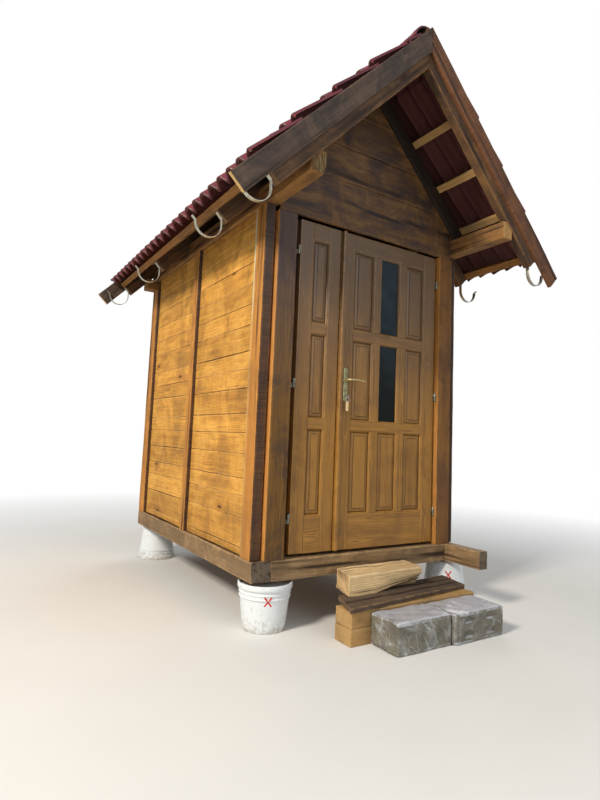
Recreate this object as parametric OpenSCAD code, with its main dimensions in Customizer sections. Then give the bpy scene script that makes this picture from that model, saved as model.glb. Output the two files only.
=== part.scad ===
/* [House] */
// Outer width over the corner posts
house_w = 1606; // [1400:1:1900]
// Outer depth over the corner posts
house_d = 2171; // [1800:1:2600]
// Height of the sill beams' underside above the ground
footing_h = 277; // [220:1:340]
// Height of a sill beam
sill_h = 115; // [90:1:140]
// Width of the left sill beam
sill_left_w = 125; // [100:1:140]
// Width of the right sill beam
sill_right_w = 80; // [70:1:100]
// How far the right sill beam lies behind the posts' outer face
sill_right_inset = 20; // [0:1:24]
// Width of a cross sill
sill_w = 100; // [80:1:120]
// How far the right sill beam runs out in front of the wall
sill_tail = 330; // [150:1:450]
// Height from the sill beams to the underside of the wall plates
wall_h = 2070; // [1950:1:2300]

/* [Posts and walls] */
// Width of a front or middle post, seen from the front
post_w = 65; // [50:1:90]
// Depth of a front post
post_front_d = 110; // [80:1:140]
// Depth of a middle post
post_mid_d = 81; // [60:1:110]
// Depth of a back post
post_back_d = 136; // [100:1:150]
// Width of a back post, seen from the back
post_back_w = 100; // [80:1:120]
// Distance from the front of the house to a middle post
post_mid_y = 1044; // [900:1:1200]
// Thickness of the wall boards
board_t = 25; // [18:1:32]
// How far the wall boards lie behind the face of the posts
board_inset = 26; // [10:1:35]
// Thickness of the floor boards
floor_t = 28; // [20:1:40]
// Width of a wall plate
plate_w = 85; // [70:1:100]
// Height of a wall plate
plate_h = 115; // [90:1:140]
// How far the left wall plate runs out in front of the wall
plate_left_tail = 468; // [400:1:485]
// How far the right wall plate runs out in front of the wall
plate_right_tail = 495; // [400:1:500]
// Forward slope of the left plate's sawn end
plate_cut = 20; // [0:1:30]
// Height of the tie beam across the back
tie_h = 90; // [70:1:110]
// How far the tie beam runs out beside the posts
tie_tail = 90; // [40:1:120]

/* [Roof] */
// Half of the roof's width, from the ridge line to the eave
roof_half = 1273; // [1150:1:1450]
// Slope of the roof in degrees
roof_slope = 46; // [42:0.5:50]
// Height of the roof line's apex above the underside of the wall plates
roof_rise = 1141; // [1100:1:1200]
// How far the front bargeboards stand in front of the wall
verge_front = 526; // [510:1:640]
// Thickness of a bargeboard
barge_t = 25; // [18:1:30]
// Width of a bargeboard
barge_w = 113; // [100:1:130]
// Thickness of a rafter
rafter_t = 55; // [40:1:70]
// Depth of the rafters' underside below the roof line
rafter_low = 176; // [165:1:185]
// Width of the dark strip that covers the gable boards' ends under the roof
gable_strip_w = 87; // [60:1:100]
// Width of a tile batten
batten_w = 50; // [40:1:60]
// Thickness of a tile batten
batten_t = 38; // [25:1:40]
// Depth of the tiles' underside below the roof line
tile_base = 45; // [40:1:50]
// Number of tile courses on a slope
tile_courses = 5; // [4:1:6]
// Overlap of two tile courses
tile_lap = 45; // [30:1:70]
// Thickness of a tile
tile_t = 14; // [10:1:16]
// Height of a tile's waves
tile_wave_h = 45; // [25:1:46]
// Number of waves along the eave
tile_waves = 23; // [16:1:26]
// How far the tiles end behind the bargeboards' lower ends
tile_short = 172; // [160:1:200]
// Overhang of the tiles beyond the eave board
tile_over = 45; // [30:1:60]
// Outer radius of a ridge tile's wide end
ridge_r = 115; // [108:1:130]
// Radius of a gutter hook
hook_r = 82; // [70:1:95]
// Depth of the ridge tiles' centre line below the roof line
ridge_drop = 84; // [80:1:84]
// Thickness of a ridge tile
ridge_t = 11; // [8:1:13]
// Number of ridge tiles
ridge_count = 7; // [6:1:8]

/* [Door] */
// Height of the door leaves
leaf_h = 2012; // [1900:1:2020]
// Thickness of the door leaves
leaf_t = 36; // [32:1:40]
// Width of the narrow left leaf
leaf_left_w = 304; // [280:1:330]
// Gap between the two leaves
leaf_gap = 8; // [8:1:12]
// Distance from the left corner post's outer face to the left leaf
leaf_left_x = 249; // [240:1:260]
// Gap below the leaves
leaf_foot_gap = 18; // [10:1:25]
// Width of the stiles beside a leaf's hinges
stile_w = 108; // [95:1:115]
// Width of the narrow leaf's hinge stile
stile_left_w = 96; // [85:1:100]
// Width of the narrow leaf's meeting stile
stile_meet_w = 87; // [80:1:95]
// Width of the bars between panel columns
mullion_w = 58; // [45:1:65]
// Height of the bottom rail
rail_low_h = 212; // [180:1:240]
// Height of the lower middle rail
rail_lock_h = 57; // [45:1:70]
// Height of the upper middle rail
rail_mid_h = 64; // [50:1:75]
// Height of the top rail
rail_top_h = 106; // [90:1:120]
// Thickness of a door panel at its edge
panel_t = 12; // [8:1:14]
// Height of a panel's raised field
field_h = 8; // [4:1:10]
// Width of the bevel around a raised field
field_bevel = 24; // [15:1:30]
// Width of the flat rim around a panel
panel_rim = 10; // [4:1:14]
// Thickness of the glass
glass_t = 4; // [3:1:6]
// Width of the cover strip on the meeting edge
strip_w = 26; // [20:1:34]
// Thickness of the cover strip
strip_t = 22; // [15:1:25]
// Width of the left door post
jamb_left_w = 127; // [110:1:135]
// Width of the right door post
jamb_right_w = 125; // [110:1:125]
// How far the door posts stand in front of the leaves
jamb_proud = 30; // [20:1:32]
// Gap between the left door post and the left leaf
jamb_left_gap = 46; // [30:1:50]
// Gap between the right door post and the right leaf
jamb_right_gap = 16; // [16:1:20]

/* [Fittings] */
// Radius of a hinge knuckle
knuckle_r = 7; // [6:0.5:8]
// Radius of a hinge pin
hinge_pin_r = 4; // [3:0.5:5]
// Height of a whole hinge
hinge_h = 57; // [50:1:70]
// Thickness of a hinge strap
strap_t = 2; // [1.5:0.5:2.5]
// Height of the handle plate
lock_plate_h = 215; // [180:1:240]
// Width of the handle plate
lock_plate_w = 35; // [30:1:42]
// Thickness of the handle plate
lock_plate_t = 6; // [4:1:8]
// Length of the lever
lever_l = 132; // [110:1:150]
// Radius of the lever's neck
lever_neck_r = 9; // [8:0.5:11]
// Height of the lever above the leaf's bottom
lever_z = 1051; // [1000:1:1100]

/* [Footings and steps] */
// Radius of a bucket's rim
bucket_rim_r = 158; // [140:1:165]
// Radius of a bucket's bottom
bucket_foot_r = 122; // [110:1:130]
// Thickness of the packing boards on the buckets
packer_t = 14; // [8:1:25]
// Length of the upper step timber
timber_l = 570; // [450:5:650]
// Depth of the upper step timber
timber_d = 195; // [150:5:200]
// How far the upper step timber's top lies below the sills' top
timber_drop = 72; // [50:1:100]
// Length of the plank and the beams below it
plank_l = 980; // [800:5:1100]
// Width of the plank
plank_w = 235; // [200:5:260]
// Thickness of the plank
plank_t = 29; // [24:1:40]
// Depth of a step beam
beam_d = 145; // [120:5:160]
// Height of one step beam
beam_h = 88; // [80:1:100]
// Height of a block pack
pack_h = 166; // [140:1:180]
// Length of a block pack
pack_l = 395; // [350:5:420]
// Depth of a block pack
pack_d = 220; // [180:5:240]

/* [Hidden] */
$fn = 48;

side_x = house_w / 2;
sill_top = footing_h + sill_h;
plate_z = sill_top + wall_h;
plate_top = plate_z + plate_h;
plate_in = side_x - plate_w;
sill_left_in = side_x - sill_left_w;
sill_right_in = side_x - sill_right_inset - sill_right_w;

// Distance from the ridge line to the highest tiles' upper edge
tile_top_s = 95;

// Roof measures: s runs down the slope from the ridge line, n stands square to it
slope_c = cos(roof_slope);
slope_s = sin(roof_slope);
apex_z = plate_z + roof_rise;
eave_s = roof_half / slope_c;
back_face = house_d + rafter_t;
roof_y0 = barge_t - verge_front;
roof_y1 = back_face;
roof_len = roof_y1 - roof_y0;
rafter_top = tile_base + batten_t;
plank_front_y = -jamb_proud;
tile_end_s = eave_s - tile_short;
tile_top_cut = 0.55;
tile_gauge = (tile_end_s - tile_top_s) / (tile_courses - tile_top_cut);
rafter_len = tile_end_s - tile_over;

// Door measures
leaf_z = sill_top + leaf_foot_gap;
door_x0 = leaf_left_x - side_x;
door_x1 = door_x0 + leaf_left_w + leaf_gap;
jamb_right_x = side_x - post_w - jamb_right_w;
door_x2 = jamb_right_x - jamb_right_gap;
leaf_right_w = door_x2 - door_x1;
jamb_left_x = door_x0 - jamb_left_gap - jamb_left_w;
lintel_z = leaf_z + leaf_h + 10;
panel_low = [rail_low_h,
             rail_low_h + (leaf_h - rail_low_h - rail_lock_h - rail_mid_h - rail_top_h) / 3 + rail_lock_h,
             leaf_h - rail_top_h - (leaf_h - rail_low_h - rail_lock_h - rail_mid_h - rail_top_h) / 3];
panel_h = (leaf_h - rail_low_h - rail_lock_h - rail_mid_h - rail_top_h) / 3;
panel_left_w = leaf_left_w - stile_left_w - stile_meet_w;
panel_right_w = (leaf_right_w - 2 * stile_w - 2 * mullion_w) / 3;
panel_right_x = [for (i = [0:2]) stile_w + i * (panel_right_w + mullion_w)];
hinge_y = -knuckle_r;
hinge_left_x = door_x0 - 15;
hinge_right_x = door_x2 + jamb_right_gap / 2;
hinge_z = [176, 970, 1786];
hinge_run = 0.05;
hinge_lift = 1;
lever_x = door_x1 + 58;
lever_run = 0.06;

// Front face of the step beams, against which the block packs stand
beam_y = -400;

// Front and back reach of the whole, for the middle of its box
pack_y = beam_y - pack_d - 20;
whole_y0 = pack_y;
whole_y1 = back_face + barge_t;
mid_y = (whole_y0 + whole_y1) / 2;

function roof_pt(s, n) = [s * slope_c + n * slope_s, apex_z - s * slope_s + n * slope_c];
function roof_z(x, n) = apex_z + n / slope_c - x * slope_s / slope_c;

// Everything is drawn from the front of the wall and then centred
module house() {
    translate([0, -mid_y, 0]) children();
}

// side is 1 for the right and -1 for the left
module on_side(side) {
    mirror([side < 0 ? 1 : 0, 0, 0]) children();
}

// A box on both sides of the middle line
module both_sides() {
    children();
    mirror([1, 0, 0]) children();
}

// Local x runs down the slope, z stands square to it
module on_slope() {
    translate([0, 0, apex_z]) rotate([0, roof_slope, 0]) children();
}

// An upright slice of thickness t, drawn in x and z, from y0 backwards
module slice(y0, t) {
    translate([0, y0 + t, 0]) rotate([90, 0, 0]) linear_extrude(t) children();
}

// Outline of a board along the slope, plumb at the ridge and square at its end
module slope_outline(len, top, low) {
    polygon([[0, roof_z(0, -top)], roof_pt(len, -top), roof_pt(len, -low), [0, roof_z(0, -low)]]);
}

bucket_h = footing_h - packer_t;
bucket_left_x = -654;
bucket_right_x = 816;
bucket_front_y = 75;
bucket_back_y = house_d - 110;

module bucket() {
    rotate_extrude() polygon([[0, 0], [bucket_foot_r, 0], [bucket_rim_r - 10, bucket_h - 30],
        [bucket_rim_r, bucket_h - 30], [bucket_rim_r, bucket_h], [0, bucket_h]]);
}

module bucket_upturned() {
    translate([0, 0, bucket_h]) mirror([0, 0, 1]) bucket();
}

module buckets() {
    color("whitesmoke") {
        translate([bucket_left_x, bucket_front_y, 0]) bucket();
        translate([bucket_right_x, bucket_front_y, 0]) bucket_upturned();
        translate([bucket_left_x, bucket_back_y, 0]) bucket_upturned();
        translate([bucket_right_x, bucket_back_y, 0]) bucket_upturned();
    }
}

// Thin boards that level the sills on the buckets
module footing_packers() {
    color("burlywood") for (y = [bucket_front_y, bucket_back_y]) {
        translate([bucket_left_x - 110, y - 45, bucket_h]) cube([190, 90, packer_t]);
        translate([bucket_right_x - 105, y - 45, bucket_h]) cube([180, 90, packer_t]);
    }
}

module sill_left() {
    color("peru") translate([-side_x, plank_front_y, footing_h])
        cube([sill_left_w, house_d - plank_front_y, sill_h]);
}

module sill_right() {
    color("peru") translate([sill_right_in, -sill_tail, footing_h])
        cube([sill_right_w, house_d + sill_tail, sill_h]);
}

module cross_sills() {
    color("peru") for (y = [plank_front_y, house_d - sill_w])
        translate([-sill_left_in, y, footing_h]) cube([sill_left_in + sill_right_in, sill_w, sill_h]);
}

module floor() {
    color("burlywood") translate([-sill_left_in, plank_front_y + sill_w, sill_top - floor_t])
        cube([sill_left_in + sill_right_in, house_d - 2 * sill_w - plank_front_y, floor_t]);
}

module post_row() {
    color("saddlebrown") {
        translate([side_x - post_w, 0, sill_top]) cube([post_w, post_front_d, wall_h]);
        translate([side_x - post_w, post_mid_y, sill_top]) cube([post_w, post_mid_d, wall_h]);
        translate([side_x - post_back_w, house_d - post_back_d, sill_top])
            cube([post_back_w, post_back_d, wall_h - tie_h]);
    }
}

module posts_left() {
    on_side(-1) post_row();
}

module posts_right() {
    on_side(1) post_row();
}

stop_t = 20;
stop_w = 14;
stop_y = leaf_t + 5;

// A door post with its stop strip, standing on the sill
module jamb(x, w, stop_x, stop_reach) {
    translate([x, -jamb_proud, sill_top]) cube([w, jamb_proud + stop_y, lintel_z - sill_top]);
    translate([stop_x, stop_y, sill_top]) cube([stop_reach, stop_t, lintel_z - sill_top]);
}

module jambs() {
    color("sienna") {
        jamb(jamb_left_x, jamb_left_w, jamb_left_x, jamb_left_w + jamb_left_gap + stop_w);
        jamb(jamb_right_x, jamb_right_w, door_x2 - stop_w, jamb_right_w + jamb_right_gap + stop_w);
    }
}

module wall_bays() {
    for (bay = [[post_front_d, post_mid_y], [post_mid_y + post_mid_d, house_d - post_back_d]])
        translate([side_x - board_inset - board_t, bay[0], sill_top])
            cube([board_t, bay[1] - bay[0], wall_h]);
}

module wall_left() {
    color("goldenrod") on_side(-1) wall_bays();
}

module wall_right() {
    color("goldenrod") on_side(1) wall_bays();
}

module wall_back() {
    color("goldenrod") translate([post_back_w - side_x, house_d - board_inset - board_t, sill_top])
        cube([house_w - 2 * post_back_w, board_t, wall_h - tie_h]);
}

module plate_left() {
    color("peru") translate([-side_x, 0, 0]) rotate([90, 0, 90]) linear_extrude(plate_w)
        polygon([[-plate_left_tail, plate_z], [roof_y1, plate_z], [roof_y1, plate_top],
            [-plate_left_tail - plate_cut, plate_top]]);
}

module plate_right() {
    color("peru") translate([plate_in, -plate_right_tail, plate_z])
        cube([plate_w, roof_y1 + plate_right_tail, plate_h]);
}

module tie_beam_back() {
    color("peru") translate([-side_x - tie_tail, house_d - sill_w, plate_z - tie_h])
        cube([house_w + 2 * tie_tail, sill_w, tie_h]);
}

module gable_outline(z0) {
    polygon([[-plate_in, z0], [plate_in, z0], [plate_in, roof_z(plate_in, -rafter_top)],
        [0, roof_z(0, -rafter_top)], [-plate_in, roof_z(plate_in, -rafter_top)]]);
}

// The strip's bottom edge and its length down to the plate
strip_low = rafter_top + gable_strip_w;
strip_len = (apex_z - plate_top - strip_low * slope_c) / slope_s;

module gable_front() {
    color("dimgray") {
        slice(plank_front_y, board_t) gable_outline(lintel_z);
        both_sides() slice(plank_front_y - board_t, board_t) slope_outline(strip_len, rafter_top, strip_low);
    }
}

module gable_back() {
    color("dimgray") slice(house_d - board_t, board_t) gable_outline(plate_z);
}

// Distance of the third pair of rafters from the back of the middle posts
rafter_back = 145;
rafter_y = [roof_y0, post_front_d, post_mid_y + post_mid_d + rafter_back, house_d];

module rafter(y0, len) {
    slice(y0, rafter_t) difference() {
        slope_outline(len, rafter_top, rafter_low);
        translate([plate_in, 0]) square([plate_w, plate_top]);
    }
}

module rafter_row() {
    for (y = rafter_y) rafter(y, rafter_len);
}

module rafters_left() {
    color("peru") on_side(-1) rafter_row();
}

module rafters_right() {
    color("peru") on_side(1) rafter_row();
}

ridge_board_w = 40;
batten_top_s = (ridge_board_w / 2 + rafter_top * slope_s) / slope_c + 1;

// Where the batten of course i starts: the lowest is flush with the rafters' ends, the highest beside the ridge board
function batten_s(i) = i < tile_courses - 1 ? rafter_len - batten_w - i * tile_gauge : batten_top_s;

module batten(i) {
    on_slope() translate([batten_s(i), roof_y0, -rafter_top])
        cube([batten_w, roof_len, batten_t]);
}

module batten_row() {
    for (i = [1:tile_courses - 1]) batten(i);
}

module battens_left() {
    color("tan") on_side(-1) batten_row();
}

module battens_right() {
    color("tan") on_side(1) batten_row();
}

module eave_boards() {
    color("saddlebrown") both_sides() batten(0);
}

wave_steps = 8;
wave_count = tile_waves * wave_steps;
function wave(i) = tile_wave_h * (1 + cos(360 * i / wave_steps)) / 2;
tile_tilt = asin((tile_t + 0.3) / tile_gauge);

module wave_outline() {
    polygon([for (i = [0:wave_count]) [roof_len * i / wave_count, wave(i)],
        for (i = [wave_count:-1:0]) [roof_len * i / wave_count, wave(i) + tile_t]]);
}

module tile_rows() {
    for (row = [0:tile_courses - 1]) {
        low_s = tile_end_s - row * tile_gauge;
        high_s = max(low_s - tile_gauge - tile_lap, tile_top_s);
        on_slope() translate([high_s, roof_y0, -tile_base]) rotate([0, -tile_tilt, 0])
            rotate([90, 0, 90]) linear_extrude(low_s - high_s) wave_outline();
    }
}

module tiles_left() {
    color("firebrick") on_side(-1) tile_rows();
}

module tiles_right() {
    color("firebrick") on_side(1) tile_rows();
}

ridge_z = apex_z - ridge_drop;
ridge_gauge = roof_len / ridge_count;
ridge_lap = 35;
ridge_open = 8;

// The board that carries the ridge tiles, let in over the rafters' peak
module ridge_board() {
    side = ridge_board_w / 2;
    inside = ridge_r - 2 * ridge_t - 1;
    top = ridge_z + sqrt(inside * inside - side * side);
    color("tan") slice(roof_y0, roof_len)
        polygon([[-side, roof_z(side, -rafter_top)], [0, roof_z(0, -rafter_top)],
            [side, roof_z(side, -rafter_top)], [side, top], [-side, top]]);
}

module ridge_tile(len) {
    small_r = ridge_r - ridge_t - 1;
    rotate([90, 0, 0]) rotate([0, 0, ridge_open]) rotate_extrude(angle = 180 - 2 * ridge_open)
        polygon([[ridge_r - ridge_t, 0], [ridge_r, 0], [small_r, -len], [small_r - ridge_t, -len]]);
}

module ridge_tiles() {
    color("maroon") for (i = [0:ridge_count - 1])
        translate([0, roof_y0 + i * ridge_gauge, ridge_z])
            ridge_tile(i < ridge_count - 1 ? ridge_gauge + ridge_lap : ridge_gauge);
}

module barge_row() {
    for (y = [-verge_front, back_face]) slice(y, barge_t) slope_outline(eave_s, 0, barge_w);
}

module bargeboards_left() {
    color("dimgray") on_side(-1) barge_row();
}

module bargeboards_right() {
    color("dimgray") on_side(1) barge_row();
}

hook_w = 25;
hook_t = 4;
hook_in = 42;
hook_drop = 88;
hook_lip = 34;
hook_lean = 42;
hook_gap = 6;

// The lower outer corner of the eave board, where a hook starts
eave_x = rafter_len * slope_c - rafter_top * slope_s;
eave_z = apex_z - rafter_len * slope_s - rafter_top * slope_c;

// A half round gutter hook, screwed to the end of a rafter and bent so that it hangs level
module gutter_hook(y0) {
    arm_x = eave_x - hook_in;
    arm_n = hook_in / slope_s;
    ring_z = eave_z - hook_drop;
    translate([arm_x + hook_r, y0 + hook_w, ring_z]) rotate([90, 180, 0])
        rotate_extrude(angle = 180) translate([hook_r - hook_t, 0]) square([hook_t, hook_w]);
    translate([arm_x, y0, ring_z]) cube([hook_t, hook_w, hook_drop - arm_n * slope_c]);
    on_slope() translate([rafter_len, y0, -rafter_top - arm_n - hook_t])
        cube([hook_t, hook_w, arm_n + hook_t - hook_gap]);
    translate([arm_x + 2 * hook_r - hook_t, y0, ring_z]) rotate([0, hook_lean, 0])
        cube([hook_t, hook_w, hook_lip]);
}

module hook_row() {
    gutter_hook(rafter_y[0] + rafter_t - hook_w);
    for (i = [1:3]) gutter_hook(rafter_y[i] + (rafter_t - hook_w) / 2);
}

module gutter_hooks_left() {
    color("silver") on_side(-1) hook_row();
}

module gutter_hooks_right() {
    color("silver") on_side(1) hook_row();
}

module leaf_blank(w) {
    cube([w, leaf_t, leaf_h]);
}

module door_left_frame() {
    color("chocolate") translate([door_x0, 0, leaf_z]) difference() {
        leaf_blank(leaf_left_w);
        for (z = panel_low) translate([stile_left_w, -1, z]) cube([panel_left_w, leaf_t + 2, panel_h]);
    }
}

module door_right_frame() {
    color("chocolate") translate([door_x1, 0, leaf_z]) {
        difference() {
            leaf_blank(leaf_right_w);
            for (z = panel_low, x = panel_right_x)
                translate([x, -1, z]) cube([panel_right_w, leaf_t + 2, panel_h]);
            translate([lever_x - door_x1, -1, lever_z]) rotate([-90, 0, 0]) cylinder(r = 12, h = leaf_t + 2);
        }
        translate([0, -strip_t, 0]) cube([strip_w, strip_t, leaf_h]);
    }
}

// A panel with a raised field on both faces, its corner at the origin
module raised_panel(w, h) {
    base = [w - 2 * panel_rim, h - 2 * panel_rim];
    top = [base[0] - 2 * field_bevel, base[1] - 2 * field_bevel];
    translate([0, (leaf_t - panel_t) / 2, 0]) cube([w, panel_t, h]);
    for (turn = [-1, 1])
        translate([w / 2, leaf_t / 2 + turn * panel_t / 2, h / 2]) rotate([-90 * turn, 0, 0])
            linear_extrude(field_h, scale = [top[0] / base[0], top[1] / base[1]], slices = 1, $fn = 4)
                square(base, center = true);
}

module door_left_panels() {
    color("peru") for (z = panel_low)
        translate([door_x0 + stile_left_w, 0, leaf_z + z]) raised_panel(panel_left_w, panel_h);
}

module door_right_panels() {
    color("peru") for (row = [0:2], col = [0:2])
        if (col != 1 || row == 0)
            translate([door_x1 + panel_right_x[col], 0, leaf_z + panel_low[row]])
                raised_panel(panel_right_w, panel_h);
}

module door_right_glass() {
    color("slategray") for (row = [1, 2])
        translate([door_x1 + panel_right_x[1], (leaf_t - glass_t) / 2, leaf_z + panel_low[row]])
            cube([panel_right_w, glass_t, panel_h]);
}

half_h = (hinge_h - hinge_lift) / 2;

// The lower half stands on the frame and carries the pin
module hinge_lower(reach) {
    cylinder(r = knuckle_r, h = half_h);
    cylinder(r = hinge_pin_r, h = hinge_h - 3);
    translate([-reach, knuckle_r - strap_t, 0]) cube([reach, strap_t, half_h]);
    translate([-reach, knuckle_r - strap_t, 0]) cube([strap_t, 30, half_h]);
}

// The upper half turns with the leaf
module hinge_upper(reach) {
    difference() {
        union() {
            cylinder(r = knuckle_r, h = half_h);
            translate([0, knuckle_r - strap_t, 0]) cube([reach, strap_t, half_h]);
            translate([reach - strap_t, knuckle_r - strap_t, 0]) cube([strap_t, 30, half_h]);
        }
        translate([0, 0, -1]) cylinder(r = hinge_pin_r + hinge_run, h = half_h - 1);
    }
}

module hinges_frame() {
    color("lightgray") for (z = hinge_z) {
        translate([hinge_left_x, hinge_y, leaf_z + z])
            hinge_lower(jamb_left_gap - door_x0 + hinge_left_x);
        translate([hinge_right_x, hinge_y, leaf_z + z])
            mirror([1, 0, 0]) hinge_lower(jamb_right_gap / 2);
    }
}

module hinges_left_leaf() {
    color("lightgray") for (z = hinge_z)
        translate([hinge_left_x, hinge_y, leaf_z + z + half_h + hinge_lift])
            hinge_upper(door_x0 - hinge_left_x);
}

module hinges_right_leaf() {
    color("lightgray") for (z = hinge_z)
        translate([hinge_right_x, hinge_y, leaf_z + z + half_h + hinge_lift])
            mirror([1, 0, 0]) hinge_upper(jamb_right_gap / 2);
}

module handle_plates() {
    color("darkkhaki") for (y = [-lock_plate_t, leaf_t])
        difference() {
            translate([lever_x - lock_plate_w / 2, y, leaf_z + lever_z - 137])
                cube([lock_plate_w, lock_plate_t, lock_plate_h]);
            translate([lever_x, y - 1, leaf_z + lever_z]) rotate([-90, 0, 0])
                cylinder(r = lever_neck_r + lever_run, h = lock_plate_t + 2);
        }
}

lever_reach = 50;
lever_bar_r = 8;

module lever_handle() {
    color("gold") translate([lever_x, 0, leaf_z + lever_z]) {
        translate([0, -lever_reach, 0]) rotate([-90, 0, 0])
            cylinder(r = lever_neck_r, h = 2 * lever_reach + leaf_t);
        for (y = [-lever_reach, leaf_t + lever_reach]) translate([0, y, 0]) {
            rotate([0, 90, 0]) cylinder(r = lever_bar_r, h = lever_l);
            sphere(r = lever_neck_r);
            translate([lever_l, 0, 0]) sphere(r = lever_bar_r);
        }
    }
}

key_z = leaf_z + lever_z - 105;

module keys() {
    color("silver") translate([lever_x, -lock_plate_t, key_z]) {
        rotate([90, 0, 0]) cylinder(r = 3, h = 14);
        translate([0, -24, 0]) rotate([0, 90, 0]) cylinder(r = 11, h = 2.5, center = true);
        translate([0, -26, -20]) rotate([90, 0, 0]) rotate_extrude() translate([13, 0]) circle(r = 1.3);
        translate([-9, -28, -82]) cube([18, 3, 50]);
    }
}

step_x = -411;
beam_shift = 5;
pack_x = step_x + 147;
plank_nose = 18;
plank_skew = 90;
timber_in = 113;
timber_skew = 27;
timber_z = 2 * beam_h + plank_t;
timber_h = sill_top - timber_drop - timber_z;

// A rough board or block given by its left front corner, with its own outline
module rough(x, y, z, h, outline) {
    translate([x, y, z]) linear_extrude(h) polygon(outline);
}

module step_timber() {
    color("burlywood") rough(step_x + timber_in, plank_front_y - timber_d - timber_skew, timber_z, timber_h,
        [[0, 0], [timber_l, timber_skew * 2 / 3], [timber_l + timber_skew, timber_d],
            [timber_skew * 2, timber_d + timber_skew]]);
}

module step_plank() {
    color("dimgray") rough(step_x, beam_y - plank_nose, 2 * beam_h, plank_t,
        [[0, 0], [plank_l, plank_skew], [plank_l + plank_skew / 2, plank_w * 1.1], [plank_skew, plank_w]]);
}

module step_beams() {
    color("burlywood") for (row = [0, 1])
        translate([step_x + plank_nose * (1 + row / 3), beam_y + row * beam_shift, row * beam_h])
            cube([plank_l - plank_nose, beam_d, beam_h]);
}

module step_blocks() {
    color("lightslategray") {
        translate([pack_x, beam_y - pack_d, 0]) cube([pack_l, pack_d, pack_h]);
        translate([pack_x + pack_l, pack_y, 0]) cube([pack_l + 10, beam_y - pack_y, pack_h]);
    }
}

house() buckets();
house() footing_packers();
house() sill_left();
house() sill_right();
house() cross_sills();
house() floor();
house() posts_left();
house() posts_right();
house() jambs();
house() wall_left();
house() wall_right();
house() wall_back();
house() plate_left();
house() plate_right();
house() tie_beam_back();
house() gable_front();
house() gable_back();
house() rafters_left();
house() rafters_right();
house() battens_left();
house() battens_right();
house() eave_boards();
house() tiles_left();
house() tiles_right();
house() ridge_board();
house() ridge_tiles();
house() bargeboards_left();
house() bargeboards_right();
house() gutter_hooks_left();
house() gutter_hooks_right();
house() door_left_frame();
house() door_left_panels();
house() door_right_frame();
house() door_right_panels();
house() door_right_glass();
house() hinges_frame();
house() hinges_left_leaf();
house() hinges_right_leaf();
house() handle_plates();
house() lever_handle();
house() keys();
house() step_timber();
house() step_plank();
house() step_beams();
house() step_blocks();
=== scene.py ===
"""Looks of the timber outhouse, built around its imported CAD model.

Lengths inside the classes are millimetres in the house's own coordinates: x from the middle,
y from the front of the wall backwards, z from the ground. Mesh.make turns them into the
frame's metres. On the roof, s runs down the slope from the ridge line and n stands square to it.
"""
import logging
import math
from dataclasses import dataclass, field, replace
from enum import Enum
from typing import Callable, Iterable, Iterator, Optional, Sequence

import bpy
import numpy as np
from mathutils import Matrix

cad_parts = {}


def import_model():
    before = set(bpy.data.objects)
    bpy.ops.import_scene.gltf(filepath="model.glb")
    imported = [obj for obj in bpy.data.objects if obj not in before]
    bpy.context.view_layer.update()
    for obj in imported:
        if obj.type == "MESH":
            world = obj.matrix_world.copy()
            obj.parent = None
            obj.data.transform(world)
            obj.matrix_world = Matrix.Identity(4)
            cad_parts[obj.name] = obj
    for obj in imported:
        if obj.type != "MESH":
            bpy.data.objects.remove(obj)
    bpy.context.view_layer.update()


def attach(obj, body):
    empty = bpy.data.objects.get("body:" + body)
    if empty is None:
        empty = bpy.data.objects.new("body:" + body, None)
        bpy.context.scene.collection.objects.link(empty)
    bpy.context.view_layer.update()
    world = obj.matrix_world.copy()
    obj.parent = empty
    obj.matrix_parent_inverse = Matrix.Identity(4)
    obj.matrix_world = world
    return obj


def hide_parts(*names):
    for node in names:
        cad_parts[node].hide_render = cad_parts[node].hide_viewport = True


Array = np.ndarray
Rng = np.random.Generator
Pair = tuple[float, float]
Triple = tuple[float, float, float]
Rgb = Triple
Socket = bpy.types.NodeSocket

LOG = logging.getLogger("outhouse")
UNITS = np.eye(3)
WHITE = (1.0, 1.0, 1.0)
# Largest radius of a board's edge as a share of its thickness, and where its flat faces begin
EDGE_SHARE, EDGE_REST = 0.45, 7.0
# Metres in a millimetre, and the frame's origin along y
MM, MIDDLE_Y = 0.001, 805.5
# Height where the reference planes of both slopes meet, and their pitch
APEX_Z, SLOPE = 3603.0, math.radians(46.0)
COS, SIN = math.cos(SLOPE), math.sin(SLOPE)
# Outer faces of the bargeboards, and both ends of the roof's timbers between them
FRONT, BACK, ROOF_Y = -526.0, 2251.0, (-501.0, 2226.0)
# Top of the sills, underside of the wall plates, and outer face of the side posts
SILL_TOP, PLATE_Z, SIDE_X = 392.0, 2462.0, 803.0
# Depths of the rafters' top and underside below the reference plane
RAFTER_TOP, RAFTER_LOW = 83.0, 176.0
# Lower ends of bargeboards, tiles and rafters, down the slope, and distance of two tile courses
EAVE_S, TILE_END, RAFTER_END, GAUGE = 1832.6, 1660.6, 1615.6, 351.8


class Side(Enum):
    """The two sides of the house, seen from the front."""

    LEFT = -1
    RIGHT = 1

    @property
    def word(self) -> str:
        """The side's name in small letters."""
        return self.name.lower()


class Axis(Enum):
    """Directions of the house."""

    X = 0
    Y = 1
    Z = 2


# ---------------------------------------------------------------- surfaces


def grid_quads(rows: int, cols: int) -> Array:
    """Quads between closed rings of points.

    Args:
        rows: number of rings.
        cols: number of points on a ring.

    Returns:
        Indices, four a face, turned outwards for a section that runs counter-clockwise
        seen against the direction of the stations.
    """
    i = np.arange(rows - 1)[:, None]
    j = np.arange(cols)[None, :]
    k = (j + 1) % cols
    quad = np.stack([i * cols + j, i * cols + k, (i + 1) * cols + k, (i + 1) * cols + j], -1)
    return quad.reshape(-1, 4)


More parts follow.
